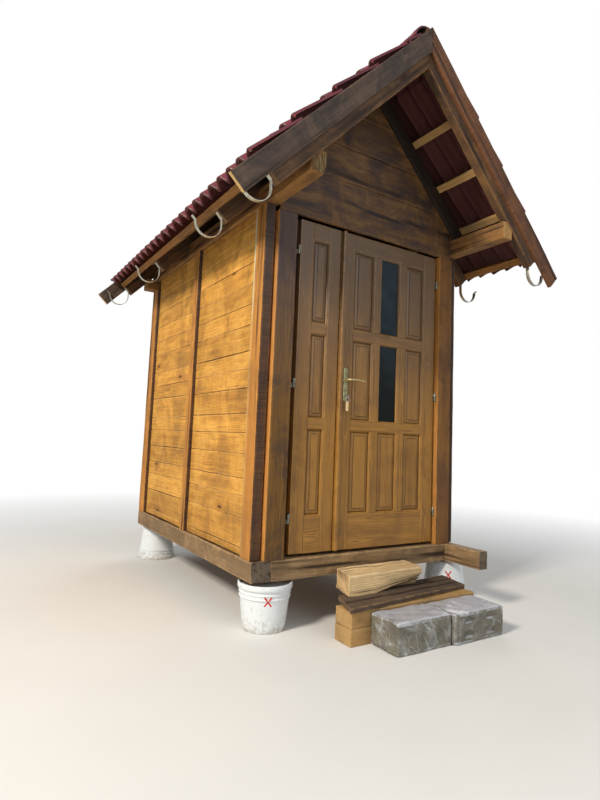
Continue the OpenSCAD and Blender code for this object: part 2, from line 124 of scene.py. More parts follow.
def shell(rows: int, cols: int, flip: bool = False) -> list[Array]:
    """Faces of a row of rings with a cap on each end; flip turns them over.

    Args:
        rows: number of rings.
        cols: number of points on a ring.
        flip: whether the faces are turned over.

    Returns:
        Arrays of indices, one row a face.
    """
    ring = np.arange(cols)
    faces = [grid_quads(rows, cols), ring[::-1][None], (ring + (rows - 1) * cols)[None]]
    return [block[:, ::-1] for block in faces] if flip else faces


def loop(rows: int, cols: int) -> list[Array]:
    """Faces of a row of rings whose last one joins the first."""
    return [grid_quads(rows + 1, cols) % (rows * cols)]


def unit(vectors: Array) -> Array:
    """The vectors at length 1."""
    return vectors / np.linalg.norm(vectors, axis=-1, keepdims=True)


def roof_point(side: Side, s: Array | float, n: Array | float, y: Array | float) -> Array:
    """Point of a slope: x = side (s cos + n sin), z = apex - s sin + n cos."""
    s, n, y = np.broadcast_arrays(np.asarray(s, float), np.asarray(n, float), np.asarray(y, float))
    return np.stack([side.value * (s * COS + n * SIN), y, APEX_Z - s * SIN + n * COS], -1)


def ripple(points: Array, rng: Rng, size: float, waves: int = 7) -> Array:
    """Smooth unevenness: a sum of sine waves of the position with random turns and phases.

    Args:
        points: places in millimetres, last axis x, y, z.
        rng: seeded source of the waves.
        size: typical length of a wave in millimetres.
        waves: number of waves.

    Returns:
        A value of about -1 to 1 at each place.
    """
    turn = rng.normal(size=(3, waves)) * (2.2 / size)
    phase = rng.uniform(0.0, 2.0 * math.pi, waves)
    return np.sin(points @ turn + phase).sum(-1) / math.sqrt(waves)


@dataclass
class Mesh:
    """Collects surfaces in house millimetres and turns them into one object."""

    points: list[Array] = field(default_factory=list)
    faces: list[list[int]] = field(default_factory=list)
    grain: list[Array] = field(default_factory=list)
    tone: list[Array] = field(default_factory=list)
    wear: list[Array] = field(default_factory=list)
    sawn: list[Array] = field(default_factory=list)
    count: int = 0

    def add(self, points: Array, faces: Sequence[Array], grain: Optional[Array] = None,
            tone: float | Array = 0.0, wear: float | Array = 0.0, sawn: float | Array = 0.0) -> None:
        """Adds one closed surface.

        Args:
            points: places, any shape with x, y, z last.
            faces: arrays of indices, one row a face.
            grain: places in the material's own coordinates, in metres.
            tone: lightness of the piece, from about -1 to 1.
            wear: share of wear, 1 on the edges; below 0 it darkens, -1 in grooves and cracks: dirt there, and painted
                shade behind seams and in recesses.
            sawn: share of fresh end grain.
        """
        flat = points.reshape(-1, 3)
        size = len(flat)
        self.points.append(flat)
        self.grain.append(flat * MM if grain is None else grain.reshape(-1, 3))
        for store, value in ((self.tone, tone), (self.wear, wear), (self.sawn, sawn)):
            value = np.asarray(value, float)
            store.append(value.reshape(-1) if value.ndim > 1 else np.broadcast_to(value, (size,)))
        for block in faces:
            self.faces.extend((np.atleast_2d(block) + self.count).tolist())
        self.count += size

    def make(self, name: str, material: bpy.types.Material, angle: float = 32.0) -> bpy.types.Object:
        """Writes the surfaces into a mesh object.

        Args:
            name: the object's name.
            material: its material.
            angle: edges sharper than this many degrees stay sharp.

        Returns:
            The new object, at the origin.
        """
        mesh = bpy.data.meshes.new(name)
        places = np.concatenate(self.points) * MM
        places[:, 1] -= MIDDLE_Y * MM
        places[:, 2] = np.maximum(places[:, 2], 0.0)
        mesh.from_pydata(places.tolist(), [], self.faces)
        mesh.validate()
        for word, kind, values in (("grain", "FLOAT_VECTOR", self.grain), ("tone", "FLOAT", self.tone),
                                   ("wear", "FLOAT", self.wear), ("sawn", "FLOAT", self.sawn)):
            layer = mesh.attributes.new(word, kind, "POINT")
            layer.data.foreach_set("vector" if kind == "FLOAT_VECTOR" else "value",
                                   np.concatenate(values).astype(np.float32).ravel())
        mesh.shade_smooth()
        mesh.set_sharp_from_angle(angle=math.radians(angle))
        mesh.materials.append(material)
        made = bpy.data.objects.new(name, mesh)
        bpy.context.scene.collection.objects.link(made)
        return made


def section(width: float, thick: float, edge: float, fine: float) -> tuple[Array, Array, Array]:
    """Closed outline of a sawn board, counter-clockwise: four arcs joined by straight sides.

    Args:
        width: size along the first direction.
        thick: size along the second direction.
        edge: radius of the arcs.
        fine: distance of the points on the straight sides.

    Returns:
        The points, their outward directions and their share of wear, 1 on the arcs.
    """
    edge = min(edge, EDGE_SHARE * min(width, thick))
    corners = np.array([[1.0, -1.0], [1.0, 1.0], [-1.0, 1.0], [-1.0, -1.0]])
    core = corners * (np.array([width, thick]) / 2.0 - edge)
    points, out, wear = [], [], []
    for k in range(4):
        turn = np.radians(90.0 * k - 90.0 + np.array([0.0, 45.0, 90.0]))
        arc = np.stack([np.cos(turn), np.sin(turn)], 1)
        run = core[(k + 1) % 4] - core[k]
        length = float(np.hypot(*run))
        inner = min(EDGE_REST, length / 3.0)
        steps = max(int(round((length - 2.0 * inner) / fine)) + 1, 2)
        share = np.linspace(inner, length - inner, steps) / length
        points += [core[k] + edge * arc, core[k] + edge * arc[-1] + share[:, None] * run]
        out += [arc, np.repeat(arc[-1:], steps, 0)]
        wear += [np.ones(3), np.zeros(steps)]
    return np.concatenate(points), np.concatenate(out), np.concatenate(wear)


@dataclass(frozen=True)
class Cut:
    """How a board is sawn and how uneven it has become.

    edge is the radius of its edges, step and fine the distances of its points along and across
    it, uneven and wave the height and length of its unevenness, bow and crook its bend in
    thickness and width, and ragged how torn its ends are, all in millimetres. start and end are the
    slopes of the saw cuts, fresh says how raw each end is, and lined how dark the seams at them are.
    """

    edge: float = 3.0
    step: float = 130.0
    fine: float = 32.0
    uneven: float = 0.5
    wave: float = 160.0
    bow: float = 0.0
    crook: float = 0.0
    start: Pair = (0.0, 0.0)
    end: Pair = (0.0, 0.0)
    cracks: int = 0
    splits: int = 0
    crack_depth: float = 5.0
    ragged: float = 0.0
    fresh: Pair = (0.3, 0.3)
    lined: float = 0.0
    warp: Optional[Callable[[Array], Array]] = None


def cracked(local: Array, out: Array, size: Triple, cut: Cut, rng: Rng) -> tuple[Array, Array]:
    """Cracks in a board's wide faces and splits in its narrow ones: bell curves round wavy lines.

    Args:
        local: the board's points (x, w, t).
        out: outward directions of its section.
        size: length, width and thickness.
        cut: how it is sawn.
        rng: seeded source of the lines.

    Returns:
        The sum of all depths at each point, and the greatest of them, both as shares.
    """
    length, width, thick = size
    total, deepest = np.zeros(local.shape[:2]), np.zeros(local.shape[:2])
    for axis, count, extent in ((1, cut.cracks, width), (2, cut.splits, thick)):
        for place, depth, phase in zip(rng.uniform(-0.42, 0.42, count), rng.uniform(0.4, 1.0, count),
                                       rng.uniform(0.0, 6.3, count)):
            path = extent * (place + 0.05 * np.sin(local[..., 0] / 140.0 + phase))
            reach = np.clip(np.sin(local[..., 0] / length * 3.1 + phase) + 0.6, 0.0, 1.0)
            bell = np.exp(-((local[..., axis] - path) / (0.35 * cut.fine + 1.0)) ** 2)
            split = depth * reach * bell * (np.abs(out[None, :, 2 - axis]) > 0.9)
            total += split
            deepest = np.maximum(deepest, split)
    return total, deepest


def board(mesh: Mesh, origin: Sequence[float], along: Sequence[float], across: Sequence[float],
          size: Triple, rng: Rng, cut: Cut = Cut(),
          tone: Optional[float] = None, dirt_and_shade: float = 0.0) -> Mesh:
    """A board: its section carried along its length, with rounded ends.

    A point is origin + x along + w across + t (along x across). x runs from 0 to the length and is
    shifted by the saw cuts' slopes times w and t. Faces move in and out by smooth waves, and
    cracks are taken off them.

    Args:
        mesh: where the board goes.
        origin: middle of its first end.
        along: unit direction of its length.
        across: unit direction of its width.
        size: length, width and thickness.
        rng: seeded source of its unevenness and grain.
        cut: how it is sawn.
        tone: its lightness; random where left out.
        dirt_and_shade: how dark it is all over: dirt on some pieces, painted shade on others.

    Returns:
        The mesh.
    """
    length, width, thick = size
    outline, out, wear = section(width, thick, cut.edge, cut.fine)
    steps = max(int(round(length / cut.step)), 2)
    lip = cut.edge + 2.0
    run = np.concatenate([[0.0, cut.edge, lip], np.linspace(0.0, length, steps + 1)[1:-1],
                          [length - lip, length - cut.edge, length]])
    inset = np.zeros(len(run))
    inset[[0, -1]] = 0.8 * min(cut.edge, EDGE_SHARE * thick)
    flat = outline[None] - out[None] * inset[:, None, None]
    share = (run / length)[:, None]
    x = run[:, None] + (1.0 - share) * (flat @ np.array(cut.start)) + share * (flat @ np.array(cut.end))
    local = np.concatenate([x[..., None], flat], -1)
    seed = rng.uniform(-500.0, 500.0, 3)
    push = cut.uneven * ripple(local + seed, rng, cut.wave)
    total, deepest = cracked(local, out, size, cut, rng)
    local[..., 1:] += out[None] * (push - cut.crack_depth * total)[..., None]
    hump = 4.0 * share * (1.0 - share)
    local[..., 1] += cut.crook * hump
    local[..., 2] += cut.bow * hump
    if cut.ragged:
        for end, sign in ((0, -1.0), (-1, 1.0)):
            local[end, :, 0] += sign * cut.ragged * (ripple(local[end] * [0, 1, 1] + seed, rng, 26.0) - 1.0)
    shift = np.array([rng.uniform(0.0, 40.0), rng.normal(0.0, width * 0.3 * MM),
                      rng.choice([-1.0, 1.0]) * (thick * 0.5 + rng.uniform(12.0, 70.0)) * MM])
    grain = local * MM + shift
    if cut.warp is not None:
        local = cut.warp(local)
    a, b = np.asarray(along, float), np.asarray(across, float)
    world = np.asarray(origin, float) + local @ np.stack([a, b, np.cross(a, b)])
    rows, cols = world.shape[:2]
    used = np.broadcast_to(wear, (rows, cols)) - 1.8 * deepest - dirt_and_shade
    used[[0, 1, -2, -1]] -= 2.0 * cut.lined
    sawn = np.zeros((rows, cols))
    sawn[0], sawn[-1] = cut.fresh
    mesh.add(world, shell(rows, cols), grain, rng.normal(0.0, 0.45) if tone is None else tone, used, sawn)
    return mesh


def box_board(mesh: Mesh, low: Sequence[float], high: Sequence[float], along: Axis, across: Axis,
              rng: Rng, cut: Cut = Cut(), tone: Optional[float] = None,
              dirt_and_shade: float = 0.0) -> Mesh:
    """A board that fills a box, with its length and width along two of the box's directions.

    Args:
        mesh: where it goes.
        low: the box's lowest corner.
        high: the box's highest corner.
        along: direction of the length.
        across: direction of the width.
        rng: seeded source of unevenness and grain.
        cut: how it is sawn.
        tone: its lightness; random where left out.
        dirt_and_shade: how dark it is all over: dirt on some pieces, painted shade on others.

    Returns:
        The mesh.
    """
    low, high = np.asarray(low, float), np.asarray(high, float)
    size = high - low
    third = 3 - along.value - across.value
    origin = (low + high) / 2.0
    origin[along.value] = low[along.value]
    return board(mesh, origin, UNITS[along.value], UNITS[across.value],
                 (size[along.value], size[across.value], size[third]), rng, cut, tone, dirt_and_shade)


def slope_board(mesh: Mesh, side: Side, s_end: float, n_low: float, n_top: float, y_low: float,
                thick: float, rng: Rng, cut: Cut) -> None:
    """A board down the slope from a plumb cut at the ridge to a square end at s_end.

    Args:
        mesh: where it goes.
        side: side of the house.
        s_end: its square end, down the slope.
        n_low: its underside, square to the slope.
        n_top: its top, square to the slope.
        y_low: its front along y.
        thick: its size along y.
        rng: seeded source of unevenness and grain.
        cut: how it is sawn.
    """
    middle = (n_low + n_top) / 2.0
    slope = SIN / COS
    start = -middle * slope
    board(mesh, roof_point(side, start, middle, y_low + thick / 2.0), (side.value * COS, 0.0, -SIN),
          (side.value * SIN, 0.0, COS), (s_end - start, n_top - n_low, thick), rng,
          replace(cut, start=(-slope, 0.0)))


def taper(length: float) -> Callable[[Array], Array]:
    """A warp that makes a splinter of that length thinner towards its tip.

    Args:
        length: the splinter's length.

    Returns:
        The warp.
    """
    def thin(p: Array) -> Array:
        """Shrinks width and thickness with the distance along the splinter."""
        far = p[..., 0] / length
        return p * np.stack([np.ones_like(far), 1.0 - 0.8 * far, 1.0 - 0.7 * far], -1)
    return thin


def lathe(mesh: Mesh, profile: Sequence, centre: Sequence[float], axis: Axis = Axis.Z, turns: int = 48,
          flip: bool = False) -> None:
    """A turned piece: each profile point (radius, height) goes round the axis on a circle.

    Args:
        mesh: where it goes.
        profile: radii and heights from the lower pole to the upper one.
        centre: the point of the axis at height 0.
        axis: direction of the axis.
        turns: number of points on a circle.
        flip: whether heights run against the axis.
    """
    angle = np.linspace(0.0, 2.0 * math.pi, turns, endpoint=False)
    radius, height = np.asarray(profile, float).T[:, :, None]
    points = np.stack([radius * np.cos(angle), radius * np.sin(angle), height + 0.0 * angle], -1)
    if flip:
        points = points * [1.0, -1.0, -1.0]
    order = {Axis.X: (2, 0, 1), Axis.Y: (1, 2, 0), Axis.Z: (0, 1, 2)}[axis]
    mesh.add(points[..., order] + np.asarray(centre, float), shell(*points.shape[:2]))


def sweep(mesh: Mesh, path: Array, outline: Array, up: Sequence[float], scale: Optional[Array] = None,
          closed: bool = False) -> None:
    """A section carried along a path: path point + u side + v up, square to the path's run.

    Args:
        mesh: where it goes.
        path: points of the path.
        outline: the section's (u, v) points, counter-clockwise.
        up: direction that v keeps to.
        scale: size of the section at each path point.
        closed: whether the path closes on itself.
    """
    run = unit(np.roll(path, -1, 0) - np.roll(path, 1, 0) if closed else np.gradient(path, axis=0))
    side = unit(np.cross(np.asarray(up, float), run))
    top = np.cross(run, side)
    grow = (np.ones(len(path)) if scale is None else scale)[:, None, None]
    points = path[:, None] + grow * (side[:, None] * outline[None, :, :1] + top[:, None] * outline[None, :, 1:])
    mesh.add(points, (loop if closed else shell)(*points.shape[:2]))


def circle(radius: float, count: int = 16, squash: float = 1.0) -> Array:
    """Outline of a circle or an ellipse, counter-clockwise."""
    angle = np.linspace(0.0, 2.0 * math.pi, count, endpoint=False)
    return np.stack([radius * np.cos(angle), radius * squash * np.sin(angle)], 1)


def nested_rings(mesh: Mesh, corner: Sequence[float], size: Pair, inset: Array, depth: Array,
                 dirt_and_shade: Array, rng: Rng, closed: bool = False, tone: float = 0.0) -> None:
    """Rectangles of growing inset, each at its own depth along y, joined into one surface.

    Corner k of ring i stands inset[i] inside the outer rectangle in x and z, at y = depth[i].

    Args:
        mesh: where it goes.
        corner: lowest x, y and z of the outer rectangle.
        size: its width and height.
        inset: distance of each ring from the outer rectangle.
        depth: place of each ring along y.
        dirt_and_shade: how dark each ring is: varnish build-up and painted shade in the recesses.
        rng: seeded source of the grain.
        closed: whether the last ring joins the first, as in a moulding, or both are capped.
        tone: its lightness.
    """
    x0, y0, z0 = corner
    width, height = size
    steps = np.linspace(0.0, 1.0, 9)
    low, high = steps[:-1], np.ones(8)
    u = np.concatenate([low, high, 1.0 - low, 0.0 * high])
    v = np.concatenate([0.0 * low, low, high, 1.0 - low])
    i = inset[:, None]
    x = x0 + i + (width - 2.0 * i) * u
    z = z0 + i + (height - 2.0 * i) * v
    y = y0 + np.broadcast_to(depth[:, None], x.shape)
    points = np.stack([x, y, z], -1)
    shift = np.array([rng.uniform(0, 40), rng.normal(0.0, 0.03), rng.uniform(0.03, 0.08)])
    grain = np.stack([(z - z0) * MM, (x - x0) * MM, (y - y0) * MM], -1) + shift
    mesh.add(points, (loop if closed else shell)(*x.shape), grain, tone, -np.broadcast_to(dirt_and_shade[:, None], x.shape))


# ---------------------------------------------------------------- finishes


def rgb(red: float, green: float, blue: float) -> Rgb:
    """Screen colour of 0 to 255 as linear light: ((c + 0.055) / 1.055) to the power 2.4."""
    shade = [c / 255.0 for c in (red, green, blue)]
    return tuple(c / 12.92 if c <= 0.04045 else ((c + 0.055) / 1.055) ** 2.4 for c in shade)


class Graph:
    """Builds the nodes of one material or world; most of its methods return an output socket."""

    def __init__(self, name: str, world: bool = False) -> None:
        """Starts an empty material, or world, of that name.

        Args:
            name: its name.
            world: whether it is a world.
        """
        self.owner = (bpy.data.worlds if world else bpy.data.materials).new(name)
        self.owner.use_nodes = True
        self.tree = self.owner.node_tree
        self.tree.nodes.clear()

    def node(self, kind: str, values: dict, **settings: object) -> bpy.types.Node:
        """Adds a node.

        Args:
            kind: the node's Blender type.
            values: input name or number to a value or an output socket.
            settings: the node's own properties.

        Returns:
            The node.
        """
        made = self.tree.nodes.new(kind)
        for word, value in settings.items():
            setattr(made, word, value)
        for key, value in values.items():
            if isinstance(value, bpy.types.NodeSocket):
                self.tree.links.new(value, made.inputs[key])
            elif isinstance(value, tuple) and made.inputs[key].type == "RGBA":
                made.inputs[key].default_value = (*value[:3], 1.0)
            else:
                made.inputs[key].default_value = value
        return made

    def place(self) -> Socket:
        """Object coordinates."""
        return self.node("ShaderNodeTexCoord", {}).outputs["Object"]

    def layer(self, name: str, vector: bool = False) -> Socket:
        """One of the mesh's own layers, as a number or a vector."""
        return self.node("ShaderNodeAttribute", {}, attribute_name=name).outputs["Vector" if vector else "Fac"]

    def stretch(self, vector: Socket, scale: Triple) -> Socket:
        """The vector times a scale for each direction."""
        return self.node("ShaderNodeMapping", {"Vector": vector, "Scale": scale}).outputs[0]

    def noise(self, vector: Socket, scale: float, detail: float = 4.0, rough: float = 0.55,
              twist: float = 0.0) -> Socket:
        """Cloudy value from 0 to 1."""
        return self.node("ShaderNodeTexNoise", {"Vector": vector, "Scale": scale, "Detail": detail,
                                                "Roughness": rough, "Distortion": twist}).outputs["Fac"]

    def streaks(self, vector: Socket, along: float, across: float, detail: float, rough: float) -> Socket:
        """Cloudy value with one scale along x and another across it."""
        return self.noise(self.stretch(vector, (along, across, across)), 1.0, detail, rough)

    def ramp(self, value: Socket, low: float, high: float, start: float = 0.0, end: float = 1.0) -> Socket:
        """Straight step of the value from start at low to end at high, held outside."""
        return self.node("ShaderNodeMapRange", {"Value": value, "From Min": low, "From Max": high,
                                                "To Min": start, "To Max": end}).outputs[0]

    def math(self, kind: str, first: Socket | float, second: Socket | float = 0.0) -> Socket:
        """A sum, product or other step of two numbers."""
        return self.node("ShaderNodeMath", {0: first, 1: second}, operation=kind).outputs[0]

    def plus(self, first: Socket, second: Socket | float) -> Socket:
        """Sum of two numbers."""
        return self.math("ADD", first, second)

    def minus(self, first: Socket, second: Socket | float) -> Socket:
        """Difference of two numbers."""
        return self.math("SUBTRACT", first, second)

    def times(self, first: Socket, second: Socket | float) -> Socket:
        """Product of two numbers."""
        return self.math("MULTIPLY", first, second)

    def vector(self, kind: str, first: Socket, second: Socket | Sequence[float]) -> Socket:
        """A sum, difference or other step of two vectors."""
        return self.node("ShaderNodeVectorMath", {0: first, 1: second}, operation=kind).outputs[0]

    def facing(self, part: str) -> Socket:
        """One part of the surface's direction."""
        return self.split(self.node("ShaderNodeNewGeometry", {}).outputs["Normal"], part)

    def mix(self, share: Socket, first: Socket | Rgb, second: Socket | Rgb) -> Socket:
        """Blend of two colours."""
        return self.node("ShaderNodeMix", {0: share, 6: first, 7: second}, data_type="RGBA").outputs[2]

    def shade(self, colour: Socket | Rgb, value: Socket | float) -> Socket:
        """The colour times a number."""
        return self.node("ShaderNodeVectorMath", {0: colour, 3: value}, operation="SCALE").outputs[0]

    def split(self, vector: Socket, part: str) -> Socket:
        """One part of a vector."""
        return self.node("ShaderNodeSeparateXYZ", {"Vector": vector}).outputs[part]

    def bump(self, height: Socket, depth: float, strength: float = 1.0) -> Socket:
        """Surface direction over a height pattern; depth is the height's size in metres."""
        return self.node("ShaderNodeBump", {"Height": height, "Distance": depth,
                                            "Strength": strength}).outputs[0]

    def finish(self, **values: object) -> bpy.types.Material:
        """Ends the material with its shader.

        Args:
            values: the shader's inputs, with spaces written as underscores.

        Returns:
            The material.
        """
        shader = self.node("ShaderNodeBsdfPrincipled", {k.replace("_", " "): v for k, v in values.items()})
        self.node("ShaderNodeOutputMaterial", {"Surface": shader.outputs[0]})
        return self.owner


@dataclass(frozen=True)
class Wood:
    """A sawn wood under its stain, varnish or weather.

    Year rings are distances from a pith that lies outside each board, drawn out along the grain.
    Knots stand in cells along the board, and blotches follow the place on the house.
    """

    name: str
    pale: Rgb
    dark: Rgb
    knot: Rgb = rgb(60, 34, 18)
    blotch: Rgb = rgb(60, 45, 35)
    blotch_share: float = 0.5
    blotch_from: float = 0.5
    blotch_scale: float = 2.6
    patch: Optional[Rgb] = None
    patch_share: float = 0.5
    # upper: colour of the upper part; on the door, posts and door posts a painted shade of the roof with a painted
    # grey sky reflection
    upper: Optional[Rgb] = None
    upper_z: Pair = (1.2, 2.4)
    upper_share: float = 0.8
    # side: lighter pale and dark colours for faces that look sideways, painted sunlight on the sides of posts
    side: Optional[tuple[Rgb, Rgb]] = None
    worn: Rgb = rgb(190, 150, 100)
    worn_share: float = 0.25
    end: Rgb = rgb(190, 154, 104)
    end_dirt: float = 0.3
    # Dark colour of dirt in grooves and cracks, and of painted shade behind seams and in recesses
    groove_dirt_and_shade: Rgb = rgb(42, 28, 18)
    ring: float = 60.0
    ring_share: float = 0.55
    broad_share: float = 0.5
    knots: float = 0.5
    fibre: float = 0.3
    rough: float = 0.7
    gloss: float = 0.3
    bump: float = 0.0012
    saw: float = 0.0
    tone: float = 0.16
    coat: float = 0.0

    def bend(self, g: Graph, grain: Socket) -> Socket:
        """The grain's places with a slow sway, so that rings and fibres aren't quite straight.

        Args:
            g: the material's nodes.
            grain: places in the board's own coordinates.

        Returns:
            The swaying grain.
        """
        sway = g.node("ShaderNodeTexNoise", {"Vector": g.stretch(grain, (1.6, 9.0, 9.0)), "Scale": 1.0,
                                             "Detail": 2.0}).outputs["Color"]
        return g.vector("ADD", grain, g.shade(g.vector("SUBTRACT", sway, (0.5, 0.5, 0.5)), 0.022))

    def knotted(self, g: Graph, bent: Socket) -> tuple[Socket, Socket]:
        """Halo and eye of the knots, one in each chosen cell along the grain.

        Args:
            g: the material's nodes.
            bent: the swaying grain.

        Returns:
            Both as shares.
        """
        cells = g.node("ShaderNodeTexVoronoi", {"Vector": g.stretch(bent, (2.1, 6.5, 3.0)), "Scale": 1.0})
        chosen = g.ramp(g.split(cells.outputs["Color"], "X"), 1.0 - self.knots, 1.02 - self.knots)
        halo, eye = (g.times(g.ramp(cells.outputs["Distance"], 0.05, reach, 1.0, 0.0), chosen)
                     for reach in (0.26, 0.085))
        return halo, eye

    def rings(self, g: Graph, bent: Socket, halo: Socket) -> Socket:
        """Late wood of the year rings: a saw tooth of the distance from the pith.

        Args:
            g: the material's nodes.
            bent: the swaying grain.
            halo: halo of the knots.

        Returns:
            Its share, from 0 to 1.
        """
        wave = g.node("ShaderNodeTexWave", {"Vector": g.stretch(bent, (0.035, 1.0, 1.0)), "Scale": self.ring,
                                            "Distortion": 1.2, "Detail": 2.0, "Detail Scale": 0.6,
                                            "Phase Offset": g.times(halo, 7.0)},
                      wave_type="RINGS", rings_direction="X", wave_profile="SAW").outputs["Fac"]
        return g.times(g.ramp(wave, 0.35, 0.92), g.ramp(wave, 0.99, 0.93))

    def stain(self, g: Graph, bent: Socket, late: Socket) -> tuple[Socket, Socket | Rgb, Optional[Socket]]:
        """Stain with blotches and light patches, and a darker upper part: painted shade of the roof on the door,
        posts and door posts.

        Args:
            g: the material's nodes.
            bent: the swaying grain.
            late: late wood of the year rings.

        Returns:
            The colour, its dark tone, and a share that is 1 on faces that look to the front and 0 on those that look
            sideways, where these take lighter colours as painted sunlight.
        """
        pale, dark, front = self.pale, self.dark, None
        # Painted sunlight: faces that look sideways take the lighter side colours, with fewer blotches and less upper
        # shade
        if self.side is not None:
            front = g.ramp(g.math("ABSOLUTE", g.facing("X")), 0.45, 0.8, 1.0, 0.0)
            pale, dark = g.mix(front, self.side[0], self.pale), g.mix(front, self.side[1], self.dark)
        colour = g.mix(g.times(late, self.ring_share), pale, dark)
        broad = g.streaks(bent, 1.3, 22.0, 3.0, 0.6)
        colour = g.mix(g.ramp(broad, 0.3, 0.75, 0.0, self.broad_share), colour, dark)
        streak = g.streaks(bent, 2.2, 30.0, 4.0, 0.65)
        mottle = g.plus(g.times(g.noise(g.place(), self.blotch_scale, 7.0, 0.68, 1.0), 0.75), g.times(streak, 0.25))
        if self.patch is not None:
            light = g.ramp(mottle, self.blotch_from - 0.02, self.blotch_from - 0.12, 0.0, self.patch_share)
            colour = g.mix(light, colour, self.patch)
        stained = g.ramp(mottle, self.blotch_from - 0.03, self.blotch_from + 0.08, 0.0, self.blotch_share)
        if front is not None:
            stained = g.times(stained, g.ramp(front, 0.0, 1.0, 0.4, 1.0))
        colour = g.mix(stained, colour, self.blotch)
        # The upper colour spreads upwards from upper_z, mostly on faces that look to the front: painted shade of the
        # roof on the door, posts and door posts
        if self.upper is not None:
            edge = g.plus(g.split(g.place(), "Z"), g.times(streak, 0.5))
            share = g.ramp(edge, self.upper_z[0] + 0.25, self.upper_z[1] + 0.25, 0.0, self.upper_share)
            if front is not None:
                share = g.times(share, g.ramp(front, 0.0, 1.0, 0.15, 1.0))
            colour = g.mix(share, colour, self.upper)
        return colour, dark, front

    def weather(self, g: Graph, colour: Socket, late: Socket) -> Socket:
        """The colour with rubbed edges, sawn ends, and darkened grooves: dirt in cracks, painted shade behind seams
        and in recesses.

        Args:
            g: the material's nodes.
            colour: the stained colour.
            late: late wood of the year rings.

        Returns:
            The new colour.
        """
        place, wear = g.place(), g.layer("wear")
        rubbed = g.times(g.ramp(wear, 0.0, 1.0),
                         g.ramp(g.noise(place, 24.0, 4.0), 0.35, 0.7, 0.0, self.worn_share))
        colour = g.mix(rubbed, colour, self.worn)
        # Below 0 the wear layer darkens to the dark colour: dirt in cracks, painted shade behind seams and in
        # recesses
        colour = g.mix(g.ramp(wear, 0.0, -1.0, 0.0, 0.92), colour, self.groove_dirt_and_shade)
        ends = g.mix(g.times(late, 0.5), self.end, tuple(0.55 * c for c in self.end))
        ends = g.mix(g.ramp(g.noise(place, 30.0, 5.0, 0.7), 0.5, 0.62, 0.0, self.end_dirt), ends, self.groove_dirt_and_shade)
        return g.mix(g.ramp(g.layer("sawn"), 0.0, 1.0), colour, ends)

    def make(self) -> bpy.types.Material:
        """Builds the material.

        Returns:
            The material.
        """
        g = Graph(self.name)
        grain = g.layer("grain", True)
        bent = self.bend(g, grain)
        halo, eye = self.knotted(g, bent)
        late = self.rings(g, bent, halo)
        fibre = g.streaks(bent, 7.0, 260.0, 3.0, 0.6)
        colour, dark, front = self.stain(g, bent, late)
        colour = g.mix(g.times(halo, 0.6), colour, dark)
        colour = g.mix(g.times(eye, 0.85), colour, self.knot)
        light = g.times(g.ramp(fibre, 0.2, 0.8, 1.0 - self.fibre, 1.0 + self.fibre),
                        g.plus(g.times(g.layer("tone"), self.tone), 1.0))
        colour = self.weather(g, g.shade(colour, light), late)
        height = g.minus(g.plus(g.times(fibre, 0.6), g.times(late, 0.35)), g.times(eye, 0.3))
        if self.saw:
            teeth = g.streaks(grain, 210.0, 7.0, 2.0, 0.5)
            height = g.plus(height, g.times(teeth, self.saw))
            marks = g.ramp(teeth, 0.3, 0.7, 1.0 - 0.3 * self.saw, 1.0 + 0.16 * self.saw)
            if front is not None:
                marks = g.plus(g.times(g.minus(marks, 1.0), front), 1.0)
            colour = g.shade(colour, marks)
        return g.finish(Base_Color=colour, Roughness=g.ramp(fibre, 0.2, 0.8, self.rough - 0.08, self.rough + 0.1),
                        Specular_IOR_Level=self.gloss, Coat_Weight=self.coat, Coat_Roughness=0.25,
                        Normal=g.bump(height, self.bump))


@dataclass(frozen=True)
class Clay:
    """Glossy burgundy roof tiles with rawer, redder rims and a dull underside, darkened further as painted shade."""

    name: str
    glaze: Rgb = rgb(126, 46, 56)
    deep: Rgb = rgb(80, 26, 36)
    raw: Rgb = rgb(164, 66, 58)
    # Colour of faces that look down: the clay's duller underside, darkened as painted shade under the roof
    under: Rgb = rgb(72, 30, 28)
    dust: Rgb = rgb(126, 92, 88)
    # Dark colour of painted shade inside the ridge tiles, also used for the dark lines at the noses
    groove_dirt_and_shade: Rgb = rgb(28, 14, 14)

    def make(self) -> bpy.types.Material:
        """Builds the material.

        Returns:
            The material.
        """
        g = Graph(self.name)
        place, wear = g.place(), g.layer("wear")
        cloud = g.noise(place, 7.0, 5.0, 0.6)
        colour = g.mix(g.ramp(cloud, 0.3, 0.75), self.glaze, self.deep)
        rubbed = g.times(g.ramp(wear, 0.0, 1.0), g.ramp(g.noise(place, 40.0, 3.0), 0.3, 0.6, 0.35, 1.0))
        colour = g.mix(rubbed, colour, self.raw)
        dusty = g.ramp(g.noise(place, 3.1, 6.0, 0.65), 0.52, 0.75, 0.0, 0.22)
        colour = g.mix(dusty, colour, self.dust)
        # Faces that look down take the underside colour: partly the duller clay, partly painted shade
        below = g.ramp(g.facing("Z"), 0.0, -0.35)
        colour = g.mix(below, colour, self.under)
        # Below 0 the wear layer darkens to the dark colour: painted shade inside the ridge tiles, thin dark lines at
        # the noses
        colour = g.mix(g.ramp(wear, 0.0, -1.0), colour, self.groove_dirt_and_shade)
        colour = g.shade(colour, g.plus(g.times(g.layer("tone"), 0.2), 1.0))
        dull = g.plus(g.ramp(cloud, 0.2, 0.8, 0.36, 0.54), g.times(below, 0.35))
        return g.finish(Base_Color=colour, Roughness=dull, Specular_IOR_Level=0.45,
                        Coat_Weight=g.ramp(below, 0.0, 1.0, 0.25, 0.0), Coat_Roughness=0.25,
                        Normal=g.bump(g.noise(place, 220.0, 3.0, 0.6), 0.0005, 0.6))


